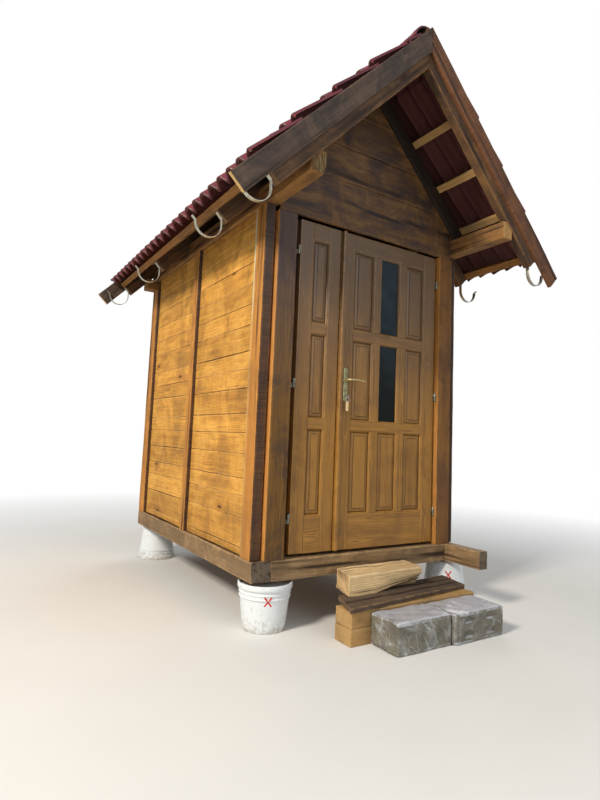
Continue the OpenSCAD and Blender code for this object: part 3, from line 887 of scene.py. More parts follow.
@dataclass(frozen=True)
class Metal:
    """A zinc coated, painted or brass surface with dull spots."""

    name: str
    bright: Rgb
    spot: Rgb
    rough: float = 0.4
    metallic: float = 0.9
    scale: float = 60.0

    def make(self) -> bpy.types.Material:
        """Builds the material.

        Returns:
            The material.
        """
        g = Graph(self.name)
        place = g.place()
        flakes = g.node("ShaderNodeTexVoronoi", {"Vector": place, "Scale": self.scale * 4.0}).outputs["Color"]
        cloud = g.noise(place, self.scale, 5.0, 0.65)
        colour = g.mix(g.ramp(cloud, 0.42, 0.68), self.bright, self.spot)
        colour = g.shade(colour, g.ramp(g.split(flakes, "X"), 0.0, 1.0, 0.9, 1.08))
        dull = g.ramp(cloud, 0.3, 0.7, self.rough - 0.1, self.rough + 0.15)
        return g.finish(Base_Color=colour, Roughness=dull, Metallic=self.metallic,
                        Normal=g.bump(cloud, 0.0004, 0.5))


@dataclass(frozen=True)
class Plastic:
    """White bucket plastic with mud splashes near the ground and scuffs."""

    name: str
    body: Rgb = rgb(226, 230, 232)
    mud: Rgb = rgb(150, 128, 100)
    scuff: Rgb = rgb(170, 174, 180)

    def make(self) -> bpy.types.Material:
        """Builds the material.

        Returns:
            The material.
        """
        g = Graph(self.name)
        place = g.place()
        specks = g.noise(place, 34.0, 6.0, 0.7)
        low = g.plus(g.ramp(g.split(place, "Z"), 0.0, 0.1, 0.24, 0.0),
                     g.ramp(g.noise(place, 6.0, 3.0), 0.4, 0.7, 0.0, 0.1))
        dirt = g.ramp(g.plus(specks, low), 0.6, 0.9, 0.0, 0.7)
        scuffed = g.ramp(g.noise(g.stretch(place, (8.0, 8.0, 120.0)), 1.0, 4.0, 0.6), 0.6, 0.75, 0.0, 0.25)
        colour = g.mix(dirt, g.mix(scuffed, self.body, self.scuff), self.mud)
        return g.finish(Base_Color=colour, Roughness=g.ramp(dirt, 0.0, 0.8, 0.35, 0.8), Specular_IOR_Level=0.5,
                        Normal=g.bump(specks, 0.0006, 0.5))


@dataclass(frozen=True)
class Stone:
    """Rough grey blocks under a clear plastic wrapping, with painted sheen on its folds and edges."""

    name: str
    body: Rgb = rgb(124, 118, 102)
    deep: Rgb = rgb(84, 80, 70)
    # Paler, bluish colour of the faces that look up: painted light and painted sky reflection in the wrapping
    top: Rgb = rgb(188, 188, 196)
    # Pale colour of the painted sheen on the clear wrapping
    film_sheen: Rgb = rgb(226, 230, 238)
    pit: Rgb = rgb(70, 66, 58)
    groove_dirt_and_shade: Rgb = rgb(52, 46, 40)

    def creases(self, g: Graph, place: Socket, scale: float, width: float) -> Socket:
        """Thin bright folds, painted highlights: the places where a twisted cloud pattern crosses its middle value.
        """
        cloud = g.noise(place, scale, 3.0, 0.55, 1.8)
        return g.ramp(g.math("ABSOLUTE", g.minus(cloud, 0.5)), 0.0, width, 1.0, 0.0)

    def make(self) -> bpy.types.Material:
        """Builds the material.

        Returns:
            The material.
        """
        g = Graph(self.name)
        place, wear = g.place(), g.layer("wear")
        grit = g.noise(place, 120.0, 6.0, 0.8)
        cloud = g.noise(place, 11.0, 6.0, 0.65, 0.4)
        pits = g.ramp(g.noise(place, 70.0, 4.0, 0.6), 0.34, 0.42, 0.6, 0.0)
        colour = g.mix(pits, g.mix(g.ramp(cloud, 0.35, 0.7), self.body, self.deep), self.pit)
        colour = g.shade(colour, g.ramp(grit, 0.3, 0.7, 0.6, 1.35))
        # Painted light: faces that look up take the paler, bluish top colour, as lit from above with a sky reflection
        lit = g.times(g.ramp(g.facing("Z"), 0.5, 0.9), g.ramp(cloud, 0.2, 0.8, 0.95, 0.7))
        colour = g.mix(lit, colour, g.shade(self.top, g.ramp(grit, 0.34, 0.66, 0.6, 1.25)))
        colour = g.mix(g.ramp(wear, 0.0, -1.0, 0.0, 0.95), colour, self.groove_dirt_and_shade)
        # Painted sheen of the clear wrapping: highlights on its folds, hazy veils and along its edges
        some = g.ramp(g.noise(place, 3.6, 2.0), 0.46, 0.6)
        folds = g.times(self.creases(g, g.stretch(place, (1.0, 1.0, 0.7)), 3.4, 0.01), some)
        veil = g.ramp(g.noise(place, 5.0, 6.0, 0.75, 1.4), 0.52, 0.68, 0.0, 0.34)
        edges = g.times(g.ramp(wear, 0.0, 1.0), g.ramp(cloud, 0.4, 0.6, 0.0, 0.45))
        shine = g.plus(g.plus(g.times(folds, 0.6), veil), edges)
        colour = g.mix(shine, colour, self.film_sheen)
        height = g.minus(g.plus(g.times(grit, 0.25), g.times(folds, 0.9)), g.times(pits, 0.6))
        return g.finish(Base_Color=colour, Roughness=g.ramp(shine, 0.0, 0.6, 0.75, 0.35), Specular_IOR_Level=0.45,
                        Coat_Weight=0.55, Coat_Roughness=0.2, Normal=g.bump(height, 0.003, 0.9))


@dataclass(frozen=True)
class Glass:
    """Dark window glass of the door, lighter towards its top as a painted sky reflection."""

    name: str
    # Lighter blue-grey colours of the upper panes: painted sky reflection
    upper: tuple[Rgb, Rgb] = (rgb(42, 55, 62), rgb(30, 40, 46))
    lower: tuple[Rgb, Rgb] = (rgb(15, 19, 15), rgb(7, 9, 7))

    def make(self) -> bpy.types.Material:
        """Builds the material.

        Returns:
            The material.
        """
        g = Graph(self.name)
        place = g.place()
        waves = g.noise(place, 9.0, 3.0, 0.5)
        upper, lower = (g.mix(g.ramp(waves, 0.3, 0.7), *pair) for pair in (self.upper, self.lower))
        # Painted reflection: the panes turn to the lighter upper colours between 1.35 m and 1.95 m
        colour = g.mix(g.ramp(g.split(place, "Z"), 1.35, 1.95), lower, upper)
        return g.finish(Base_Color=colour, Roughness=g.ramp(waves, 0.2, 0.8, 0.1, 0.2), Specular_IOR_Level=0.25,
                        Coat_Weight=0.1, Coat_Roughness=0.08, Normal=g.bump(waves, 0.0006, 0.4))


class Finishes:
    """Makes each finish once and hands it out by name."""

    # Pale and dark colours of the door posts' sideways faces: painted sunlight, lighter than their fronts
    SUNNY = (rgb(202, 142, 70), rgb(146, 92, 40))
    WALL = Wood("wall_stain", rgb(214, 158, 68), rgb(160, 102, 36), blotch=rgb(104, 74, 46), blotch_share=0.42,
                blotch_from=0.53, blotch_scale=3.0, worn=rgb(236, 190, 120), worn_share=0.4, knots=0.6, rough=0.62,
                tone=0.26, ring_share=0.55, broad_share=0.6, fibre=0.32, saw=0.55, groove_dirt_and_shade=rgb(36, 22, 12),
                patch=rgb(232, 178, 88), patch_share=0.4)
    GABLE = Wood("gable_stain", rgb(118, 84, 50), rgb(66, 44, 28), blotch=rgb(46, 40, 44), blotch_share=0.75,
                 blotch_from=0.51, blotch_scale=3.4, patch=rgb(146, 108, 60), patch_share=0.5, ring_share=0.75,
                 fibre=0.42, worn=rgb(150, 112, 72), rough=0.5, gloss=0.4, knots=0.6, groove_dirt_and_shade=rgb(22, 16, 12))
    STRIP = Wood("strip_stain", rgb(50, 38, 30), rgb(34, 27, 23), blotch=rgb(26, 24, 24), worn=rgb(70, 54, 40),
                 knots=0.2)
    BARGE = Wood("bargeboard_stain", rgb(92, 74, 62), rgb(60, 48, 42), blotch=rgb(42, 40, 40), blotch_share=0.65,
                 blotch_scale=3.6, patch=rgb(114, 92, 74), patch_share=0.4, worn=rgb(150, 116, 78), worn_share=0.12,
                 knots=0.55, rough=0.6, saw=0.5, fibre=0.36, end=rgb(208, 170, 112))
    RUSSET = Wood("bargeboard_russet", rgb(122, 80, 50), rgb(78, 48, 32), blotch=rgb(50, 38, 34), blotch_share=0.5,
                  blotch_scale=3.6, worn=rgb(176, 120, 76), worn_share=0.2, knots=0.5, rough=0.6, saw=0.9,
                  fibre=0.36, end=rgb(190, 140, 90))
    # Posts and door posts: the darker, greyer upper colour is painted shade of the roof with a painted sky
    # reflection, and the side colours are painted sunlight
    POST = Wood("post_stain", rgb(98, 68, 44), rgb(58, 40, 28), blotch=rgb(46, 37, 34), blotch_share=0.6,
                upper=rgb(76, 64, 60), upper_z=(1.3, 2.3), side=(rgb(206, 144, 66), rgb(148, 90, 36)),
                worn=rgb(220, 150, 76), worn_share=0.3, saw=1.3, knots=0.4)
    JAMB = Wood("jamb_stain", rgb(124, 88, 38), rgb(70, 48, 24), blotch=rgb(56, 44, 40), blotch_share=0.6,
                ring_share=0.65, fibre=0.36, upper=rgb(76, 66, 68), upper_z=(1.2, 2.3), side=SUNNY,
                worn=rgb(216, 150, 80), knots=0.5)
    HONEY = Wood("jamb_honey", rgb(140, 96, 48), rgb(90, 58, 30), blotch=rgb(66, 48, 38), blotch_share=0.5,
                 side=SUNNY, worn=rgb(216, 150, 80), knots=0.5)
    ROOF = Wood("roof_timber", rgb(110, 80, 54), rgb(70, 50, 36), blotch=rgb(52, 42, 36), blotch_share=0.6,
                patch=rgb(150, 108, 62), patch_share=0.4, worn=rgb(196, 142, 78), worn_share=0.3, knots=0.5)
    PLATE = Wood("plate_timber", rgb(156, 112, 60), rgb(102, 68, 38), blotch=rgb(74, 54, 40), blotch_share=0.6,
                 worn=rgb(206, 158, 92), knots=0.5, end=rgb(178, 136, 82))
    SILL = Wood("sill_timber", rgb(150, 122, 86), rgb(98, 76, 54), blotch=rgb(76, 62, 50), blotch_share=0.22,
                blotch_scale=4.0, fibre=0.4, patch=rgb(180, 146, 102), patch_share=0.5, worn=rgb(208, 172, 124),
                worn_share=0.5, knots=0.5, bump=0.002, end=rgb(112, 98, 82), end_dirt=0.75)
    RAW = Wood("raw_timber", rgb(192, 154, 98), rgb(146, 108, 62), blotch=rgb(112, 90, 66), blotch_share=0.45,
               worn=rgb(220, 190, 138), knots=0.45)
    PALE = Wood("pale_timber", rgb(236, 206, 156), rgb(198, 160, 110), blotch=rgb(150, 124, 94), blotch_share=0.35,
                worn=rgb(244, 222, 178), worn_share=0.5, knots=0.3, ring=42.0, bump=0.003, fibre=0.34,
                end=rgb(210, 166, 112))
    # Torn fibres, darker than the timbers they come from: partly the fibres' own colour, partly painted shade of the
    # torn recess
    TORN = Wood("torn_timber", rgb(150, 122, 82), rgb(88, 68, 48), blotch=rgb(60, 50, 42), blotch_share=0.7,
                worn=rgb(190, 160, 112), worn_share=0.5, knots=0.0, fibre=0.45)
    PLANK = Wood("old_plank", rgb(108, 88, 70), rgb(72, 58, 47), blotch=rgb(50, 43, 38), worn=rgb(190, 152, 102),
                 worn_share=0.55, knots=0.3, bump=0.0025, rough=0.8, end=rgb(150, 122, 86))
    # The door's darker, greyer upper colour is painted shade of the roof with a painted sky reflection
    DOOR = Wood("door_varnish", rgb(168, 120, 48), rgb(110, 72, 26), blotch=rgb(98, 66, 28), blotch_share=0.35,
                upper=rgb(90, 76, 66), upper_z=(1.1, 2.2), upper_share=0.78, worn=rgb(216, 158, 86),
                worn_share=0.3, knots=0.0, ring=95.0, ring_share=0.6, fibre=0.24, rough=0.4, gloss=0.4,
                bump=0.0004, tone=0.08, coat=0.2, groove_dirt_and_shade=rgb(58, 36, 18), end=rgb(58, 36, 18))
    EAVE = Wood("eave_stain", rgb(160, 112, 58), rgb(112, 74, 36), blotch=rgb(84, 58, 36), worn=rgb(206, 158, 92),
                knots=0.4)
    ROOM = Wood("floor_timber", rgb(176, 142, 98), rgb(130, 98, 62), blotch=rgb(110, 90, 68), knots=0.4)
    WELT = Wood("seal_strip", rgb(206, 158, 92), rgb(160, 116, 62), blotch=rgb(120, 92, 60),
                upper=rgb(186, 190, 160), upper_z=(1.7, 1.95), upper_share=0.8, worn=rgb(214, 206, 170), knots=0.0)
    TILE = Clay("burgundy_tiles")
    ZINC = Metal("galvanised_strap", rgb(222, 218, 202), rgb(160, 156, 140), rough=0.45)
    BRIGHT = Metal("zinc_plate", rgb(160, 164, 150), rgb(104, 108, 98), rough=0.4)
    BRASS = Metal("worn_brass", rgb(196, 188, 140), rgb(112, 116, 84), rough=0.36, scale=26.0)
    LEVER = Metal("polished_brass", rgb(244, 226, 170), rgb(196, 178, 120), rough=0.4, scale=26.0)
    NICKEL = Metal("key_nickel", rgb(226, 228, 230), rgb(178, 182, 186), rough=0.28)
    BUCKET = Plastic("bucket_white")
    MARK = Plastic("red_mark", body=rgb(206, 44, 34), mud=rgb(170, 60, 44))
    BLOCK = Stone("wrapped_blocks")
    GLASS = Glass("door_window")

    def __init__(self) -> None:
        """Starts with no material made."""
        self.made: dict[str, bpy.types.Material] = {}

    def get(self, finish: Wood | Clay | Metal | Plastic | Stone | Glass) -> bpy.types.Material:
        """The finish's material, made at its first use.

        Args:
            finish: one of the finishes above.

        Returns:
            The material.
        """
        if finish.name not in self.made:
            self.made[finish.name] = finish.make()
        return self.made[finish.name]


@dataclass
class Workshop:
    """Turns meshes into pieces of the part and reports them."""

    finishes: Finishes
    pieces: int = 0

    def piece(self, mesh: Mesh, name: str, finish: object, nodes: Iterable[str],
              body: str = "house", angle: float = 32.0) -> None:
        """Makes one piece and tells the frame about it.

        Args:
            mesh: its surfaces.
            name: its name.
            finish: its finish.
            nodes: the CAD nodes that it stands for.
            body: the body that it rides on.
            angle: edges sharper than this stay sharp.
        """
        made = mesh.make(name, self.finishes.get(finish), angle)
        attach(made, body)
        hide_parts(*nodes)
        self.pieces += 1
        LOG.info("%s: %d points, %d faces, on %s", name, len(made.data.vertices), len(made.data.polygons), body)


# ---------------------------------------------------------------- footings and floor


@dataclass
class Footings:
    """Four buckets, one upright and three upturned, and the thin boards on them."""

    height: float = 263.0
    foot_r: float = 122.0
    rim_r: float = 158.0
    left_x: float = -654.0
    right_x: float = 816.0
    front_y: float = 75.0
    back_y: float = 2061.0
    packing: Pair = (90.0, 14.0)
    packing_x: tuple[Pair, Pair] = ((-764.0, -574.0), (711.0, 891.0))
    stroke: Triple = (20.0, 26.0, 4.2)
    seed: int = 11

    def profile(self) -> Array:
        """Radii and heights of a bucket with its rim band, ribs and the filling inside.

        Returns:
            Rows of radius and height.
        """
        h, foot, rim = self.height, self.foot_r, self.rim_r
        return np.array([
            (2, 5), (foot - 16, 5), (foot - 12, 0), (foot - 4, 0), (foot, 4), (foot + 3, 30), (foot + 9, 80),
            (foot + 17, 150), (foot + 20, 176), (foot + 21, 182), (rim - 9, 184), (rim - 8, 187), (rim - 9, 190),
            (foot + 23, 192), (foot + 24, 206), (rim - 8, 208), (rim - 7, 211), (rim - 8, 214), (foot + 26, 216),
            (foot + 27, 230), (rim - 3, 231), (rim, 235), (rim, h - 5), (rim - 2, h - 1), (rim - 6, h),
            (rim - 10, h - 2), (rim - 12, h - 14), (rim - 13, h - 20), (2, h - 18)], float)

    def cross(self, mesh: Mesh, middle: Pair, turn: float, z: float, upturned: bool) -> None:
        """A painted cross: two strokes over the bucket's wall round the direction turn, in degrees.

        Args:
            mesh: where it goes.
            middle: x and y of the bucket's axis.
            turn: direction in which the cross looks.
            z: height of its middle.
            upturned: whether the bucket stands upside down.
        """
        rows = self.profile()[4:12]
        wide, high, brush = self.stroke
        way = math.radians(turn)
        for lean in (-1.0, 1.0):
            t = np.linspace(-1.0, 1.0, 9)
            height = z + high * t
            level = self.height - height if upturned else height
            radius = np.interp(level, rows[:, 1], rows[:, 0]) + 0.4
            angle = way + lean * t * wide / radius
            path = np.stack([middle[0] + radius * np.cos(angle), middle[1] + radius * np.sin(angle), height], 1)
            sweep(mesh, path, circle(brush, 8, 0.16), (math.cos(way), math.sin(way), 0.0))

    def build(self, shop: Workshop) -> None:
        """Makes the buckets and their packing boards.

        Args:
            shop: workshop that makes the pieces.
        """
        spots = (("front_left", self.left_x, self.front_y, False), ("front_right", self.right_x, self.front_y, True),
                 ("back_left", self.left_x, self.back_y, True), ("back_right", self.right_x, self.back_y, True))
        for word, x, y, upturned in spots:
            mesh = Mesh()
            lathe(mesh, self.profile(), (x, y, self.height * upturned), turns=72, flip=upturned)
            shop.piece(mesh, f"bucket_{word}", Finishes.BUCKET, ["buckets"], angle=40.0)
        marks = Mesh()
        self.cross(marks, (self.right_x, self.front_y), -125.0, 176.0, True)
        self.cross(marks, (self.left_x, self.front_y), -111.0, 180.0, False)
        shop.piece(marks, "bucket_crosses", Finishes.MARK, ["buckets"])
        rng = np.random.default_rng(self.seed)
        mesh = Mesh()
        wide, thick = self.packing
        for y in (self.front_y, self.back_y):
            for low, high in self.packing_x:
                box_board(mesh, (low, y - wide / 2.0, self.height - 0.5), (high, y + wide / 2.0, self.height + thick),
                          Axis.X, Axis.Y, rng, Cut(edge=1.5, uneven=0.4, step=40.0, ragged=2.0))
        shop.piece(mesh, "packing_boards", Finishes.RAW, ["footing_packers"])


@dataclass
class Base:
    """The sill beams and the floor between them."""

    low_z: float = 277.0
    left_x: Pair = (-803.0, -678.0)
    right_x: Pair = (703.0, 783.0)
    ends_y: Pair = (-30.0, 2171.0)
    right_tail: float = 300.0
    cross_w: float = 100.0
    floor_t: float = 28.0
    boards: int = 15
    seed: int = 21

    def build(self, shop: Workshop) -> None:
        """Makes the sills, cross sills and floor boards.

        Args:
            shop: workshop that makes the pieces.
        """
        rng = np.random.default_rng(self.seed)
        rough = Cut(edge=5.0, uneven=1.2, wave=120.0, step=90.0, fine=14.0, cracks=5, crack_depth=4.0, ragged=1.5)
        torn = replace(rough, cracks=8, crack_depth=6.0, ragged=4.0, fresh=(1.0, 0.6))
        (x0, x1), (x2, x3), (y0, y1), w = self.left_x, self.right_x, self.ends_y, self.cross_w
        left = box_board(Mesh(), (x0, y0, self.low_z), (x1, y1, SILL_TOP), Axis.Y, Axis.X, rng, torn)
        shop.piece(left, "sill_beam_left", Finishes.SILL, ["sill_left"])
        right = box_board(Mesh(), (x2, y0 - self.right_tail, self.low_z), (x3, y1, SILL_TOP), Axis.Y, Axis.Z, rng,
                          replace(rough, fresh=(0.9, 0.6)), tone=0.9)
        shop.piece(right, "sill_beam_right", Finishes.SILL, ["sill_right"])
        cross = Mesh()
        for y in (y0, y1 - w):
            box_board(cross, (x1, y, self.low_z), (x2, y + w, SILL_TOP), Axis.X, Axis.Z, rng, rough)
        shop.piece(cross, "cross_sill_beams", Finishes.SILL, ["cross_sills"])
        floor = Mesh()
        edges = np.linspace(y0 + w, y1 - w, self.boards + 1)
        for low, high in zip(edges[:-1], edges[1:]):
            box_board(floor, (x1, low + 1, SILL_TOP - self.floor_t), (x2, high - 1, SILL_TOP), Axis.X, Axis.Y, rng,
                      Cut(edge=2.0, uneven=0.4))
        shop.piece(floor, "floor_boards", Finishes.ROOM, ["floor"])


@dataclass
class Frame:
    """Corner and middle posts, door posts, wall plates and the tie beam.

    A post is (width, front y, depth, top z). A door post is given by its x range and that of its
    stop strip; jamb_y holds the post's front, the strip's front and the strip's back. plate_starts
    are the front ends of the left and right plate, and the splinters lie along the break at y =
    break_y - break_run times the height above the plate's underside.
    """

    post_sizes: tuple[tuple[float, float, float, float], ...] = (
        (65.0, 0.0, 110.0, PLATE_Z), (65.0, 1044.0, 81.0, PLATE_Z), (100.0, 2035.0, 136.0, 2372.0))
    left_jamb: tuple[float, float, float, float] = (-727.0, -600.0, -727.0, -540.0)
    right_jamb: tuple[float, float, float, float] = (613.0, 738.0, 583.0, 738.0)
    jamb_y: Triple = (-30.0, 41.0, 61.0)
    jamb_top: float = 2432.0
    tie: tuple[Triple, Triple] = ((-893.0, 2071.0, 2372.0), (893.0, 2171.0, PLATE_Z))
    plate: Pair = (85.0, 115.0)
    plate_at: Pair = (760.5, 2519.5)
    plate_starts: Pair = (-478.0, -495.0)
    break_y: float = -470.0
    break_run: float = 0.17
    splinter_count: int = 44
    splinter_x: Pair = (-800.0, -722.0)
    splinter_z: Pair = (2496.0, 2576.0)
    seed: int = 31

    def posts(self, side: Side, rng: Rng) -> Mesh:
        """The three posts of one side.

        Args:
            side: side of the house.
            rng: seeded source of unevenness and grain.

        Returns:
            The mesh.
        """
        mesh = Mesh()
        sawn = Cut(edge=4.0, uneven=0.9, wave=150.0, fine=18.0, step=110.0, cracks=2, crack_depth=2.5)
        for width, y0, depth, top in self.post_sizes:
            x0 = SIDE_X - width if side is Side.RIGHT else -SIDE_X
            box_board(mesh, (x0, y0, SILL_TOP), (x0 + width, y0 + depth, top), Axis.Z, Axis.Y, rng, sawn)
        return mesh

    def jamb(self, side: Side, rng: Rng) -> Mesh:
        """One door post with its stop strip.

        Args:
            side: side of the house.
            rng: seeded source of unevenness and grain.

        Returns:
            The mesh.
        """
        mesh = Mesh()
        x0, x1, s0, s1 = self.left_jamb if side is Side.LEFT else self.right_jamb
        y0, y1, y2 = self.jamb_y
        box_board(mesh, (x0, y0, SILL_TOP), (x1, y1, self.jamb_top), Axis.Z, Axis.X, rng,
                  Cut(edge=3.5, uneven=0.7, fine=20.0, step=120.0))
        return box_board(mesh, (s0, y1, SILL_TOP), (s1, y2, self.jamb_top), Axis.Z, Axis.X, rng,
                         Cut(edge=1.5, uneven=0.2))

    def wall_plate(self, side: Side, rng: Rng) -> Mesh:
        """One wall plate; the left one's front end is broken, the right one is sawn and split.

        Args:
            side: side of the house.
            rng: seeded source of unevenness and grain.

        Returns:
            The mesh.
        """
        wide, high = self.plate
        x, z = self.plate_at
        if side is Side.LEFT:
            y0 = self.plate_starts[0]
            cut = Cut(edge=4.0, uneven=0.9, fine=16.0, step=60.0, start=(-20.0 / high, 0.0), cracks=3,
                      fresh=(0.2, 0.6))
        else:
            y0 = self.plate_starts[1]
            cut = Cut(edge=4.0, uneven=0.8, fine=12.0, step=70.0, cracks=4, crack_depth=8.0, fresh=(0.9, 0.6))
        return board(Mesh(), (side.value * x, y0, z), UNITS[1], UNITS[2], (ROOF_Y[1] - y0, high, wide), rng, cut)

    def splinters(self, rng: Rng) -> Mesh:
        """Torn fibres on the left plate's broken end: thin wedges that lie close to its front face.

        Args:
            rng: seeded source of unevenness and grain.

        Returns:
            The mesh.
        """
        mesh = Mesh()
        for _ in range(self.splinter_count):
            x = rng.uniform(*self.splinter_x)
            top = rng.uniform(*self.splinter_z)
            length = rng.uniform(24.0, 80.0)
            lean = unit(np.array([rng.normal(0.0, 0.05), rng.normal(0.0, 0.06), -1.0]))
            across = unit(np.cross(lean, UNITS[1]))
            thin = Cut(edge=0.6, uneven=0.2, step=20.0, fine=4.0, ragged=0.5, warp=taper(length))
            y = self.break_y - (top - PLATE_Z) * self.break_run + rng.uniform(-3.0, 4.0)
            # Each splinter is darkened at random, partly as painted shade among the torn fibres
            board(mesh, (x, y, top), lean, across,
                  (min(length, top - PLATE_Z - 2.0), rng.uniform(4.0, 12.0), rng.uniform(2.0, 6.0)), rng, thin,
                  dirt_and_shade=rng.uniform(-0.1, 0.5))
        return mesh

    def build(self, shop: Workshop) -> None:
        """Makes posts, door posts, plates and tie beam.

        Args:
            shop: workshop that makes the pieces.
        """
        rng = np.random.default_rng(self.seed)
        for side in Side:
            shop.piece(self.posts(side, rng), f"posts_{side.word}_timbers", Finishes.POST,
                       [f"posts_{side.word}"])
            shop.piece(self.wall_plate(side, rng), f"wall_plate_{side.word}", Finishes.PLATE,
                       [f"plate_{side.word}"])
        shop.piece(self.splinters(rng), "plate_splinters", Finishes.TORN, ["plate_left"])
        shop.piece(self.jamb(Side.LEFT, rng), "door_post_left", Finishes.JAMB, ["jambs"])
        shop.piece(self.jamb(Side.RIGHT, rng), "door_post_right", Finishes.HONEY, ["jambs"])
        tie = box_board(Mesh(), *self.tie, Axis.X, Axis.Z, rng, Cut(edge=4.0, uneven=0.8, fine=16.0, cracks=2))
        shop.piece(tie, "tie_beam", Finishes.PLATE, ["tie_beam_back"])


# ---------------------------------------------------------------- walls and gables


@dataclass
class Walls:
    """Horizontal boards between the posts, with a thin pale seal beside the front post and dark strips of painted
    shade behind the seams.
    """

    seams: tuple[float, ...] = (392, 434, 602, 731, 832, 978, 1104, 1219, 1372, 1488, 1598, 1758, 1886, 2015, 2150,
                                2284, 2400, 2462)
    bays: tuple[Pair, ...] = ((111.0, 1044.0), (1125.0, 2035.0))
    middle_x: float = 764.5
    thick: float = 25.0
    back_y: float = 2120.0
    back_top: float = 2372.0
    joint: Pair = (118.0, 121.0)
    joint_z: Pair = (1880.0, 2300.0)
    seal_x: Pair = (777.0, 795.0)
    seal_y: Pair = (112.0, 142.0)
    seed: int = 41

    def seam_shade_strip(self, mesh: Mesh, low: Triple, high: Triple, along: Axis, rng: Rng) -> None:
        """A dark strip behind a seam, from a little below it to a little above: painted shade in the gap between the
        boards.
        """
        box_board(mesh, low, high, along, Axis.Z, rng, Cut(edge=1.0, uneven=0.0), tone=0.0, dirt_and_shade=2.0)

    def side_wall(self, side: Side, rng: Rng) -> Mesh:
        """Two bays of boards; the seams of the second bay and of the right wall are a little off.

        Args:
            side: side of the house.
            rng: seeded source of unevenness and grain.

        Returns:
            The mesh.
        """
        mesh = Mesh()
        x = side.value * self.middle_x
        for bay, (y0, y1) in enumerate(self.bays):
            seams = np.array(self.seams, float)
            off = rng.uniform(-9.0, 9.0, len(seams)) * (1.0 if bay or side is Side.RIGHT else 0.0)
            seams[1:-1] += off[1:-1]
            for low, high in zip(seams[:-1], seams[1:]):
                spans = [(y0, y1)]
                if bay and self.joint_z[0] < high < self.joint_z[1] and side is Side.LEFT:
                    spans = [(y0, y0 + self.joint[0]), (y0 + self.joint[1], y1)]
                for a, b in spans:
                    gap = rng.uniform(0.8, 2.0)
                    cut = Cut(edge=3.5, uneven=0.7, step=110.0, fine=24.0, crook=rng.normal(0.0, 1.2),
                              bow=side.value * rng.normal(0.0, 1.0), lined=0.25)
                    box_board(mesh, (x - self.thick / 2.0, a, low + gap), (x + self.thick / 2.0, b, high - gap),
                              Axis.Y, Axis.Z, rng, cut)
                self.seam_shade_strip(mesh, (x - 4, y0 + 1, high - 14), (x + 4, y1 - 1, high + 12 * (high < PLATE_Z)),
                             Axis.Y, rng)
        return mesh

    def back_wall(self, rng: Rng) -> Mesh:
        """Boards between the back posts.

        Args:
            rng: seeded source of unevenness and grain.

        Returns:
            The mesh.
        """
        mesh = Mesh()
        seams = np.array([s for s in self.seams if s < 2350] + [self.back_top], float)
        seams[1:-1] += rng.uniform(-9.0, 9.0, len(seams) - 2)
        for low, high in zip(seams[:-1], seams[1:]):
            gap = rng.uniform(0.8, 2.0)
            box_board(mesh, (-703, self.back_y, low + gap), (703, self.back_y + self.thick, high - gap), Axis.X,
                      Axis.Z, rng, Cut(edge=3.5, uneven=0.7, fine=24.0, crook=rng.normal(0.0, 1.2)))
            self.seam_shade_strip(mesh, (-702, 2128, high - 14), (702, 2136, high + 12 * (high < self.back_top)), Axis.X, rng)
        return mesh

    def build(self, shop: Workshop) -> None:
        """Makes the three boarded walls.

        Args:
            shop: workshop that makes the pieces.
        """
        rng = np.random.default_rng(self.seed)
        for side in Side:
            shop.piece(self.side_wall(side, rng), f"wall_{side.word}_boards", Finishes.WALL,
                       [f"wall_{side.word}"])
            x0, x1 = sorted(side.value * x for x in self.seal_x)
            y0, y1 = self.seal_y
            seal = box_board(Mesh(), (x0, y0, SILL_TOP), (x1, y1, PLATE_Z), Axis.Z, Axis.Y, rng,
                             Cut(edge=3.0, uneven=1.2, step=60.0))
            shop.piece(seal, f"wall_{side.word}_seal", Finishes.WELT, [f"wall_{side.word}"])
        shop.piece(self.back_wall(rng), "wall_back_boards", Finishes.WALL, ["wall_back"])


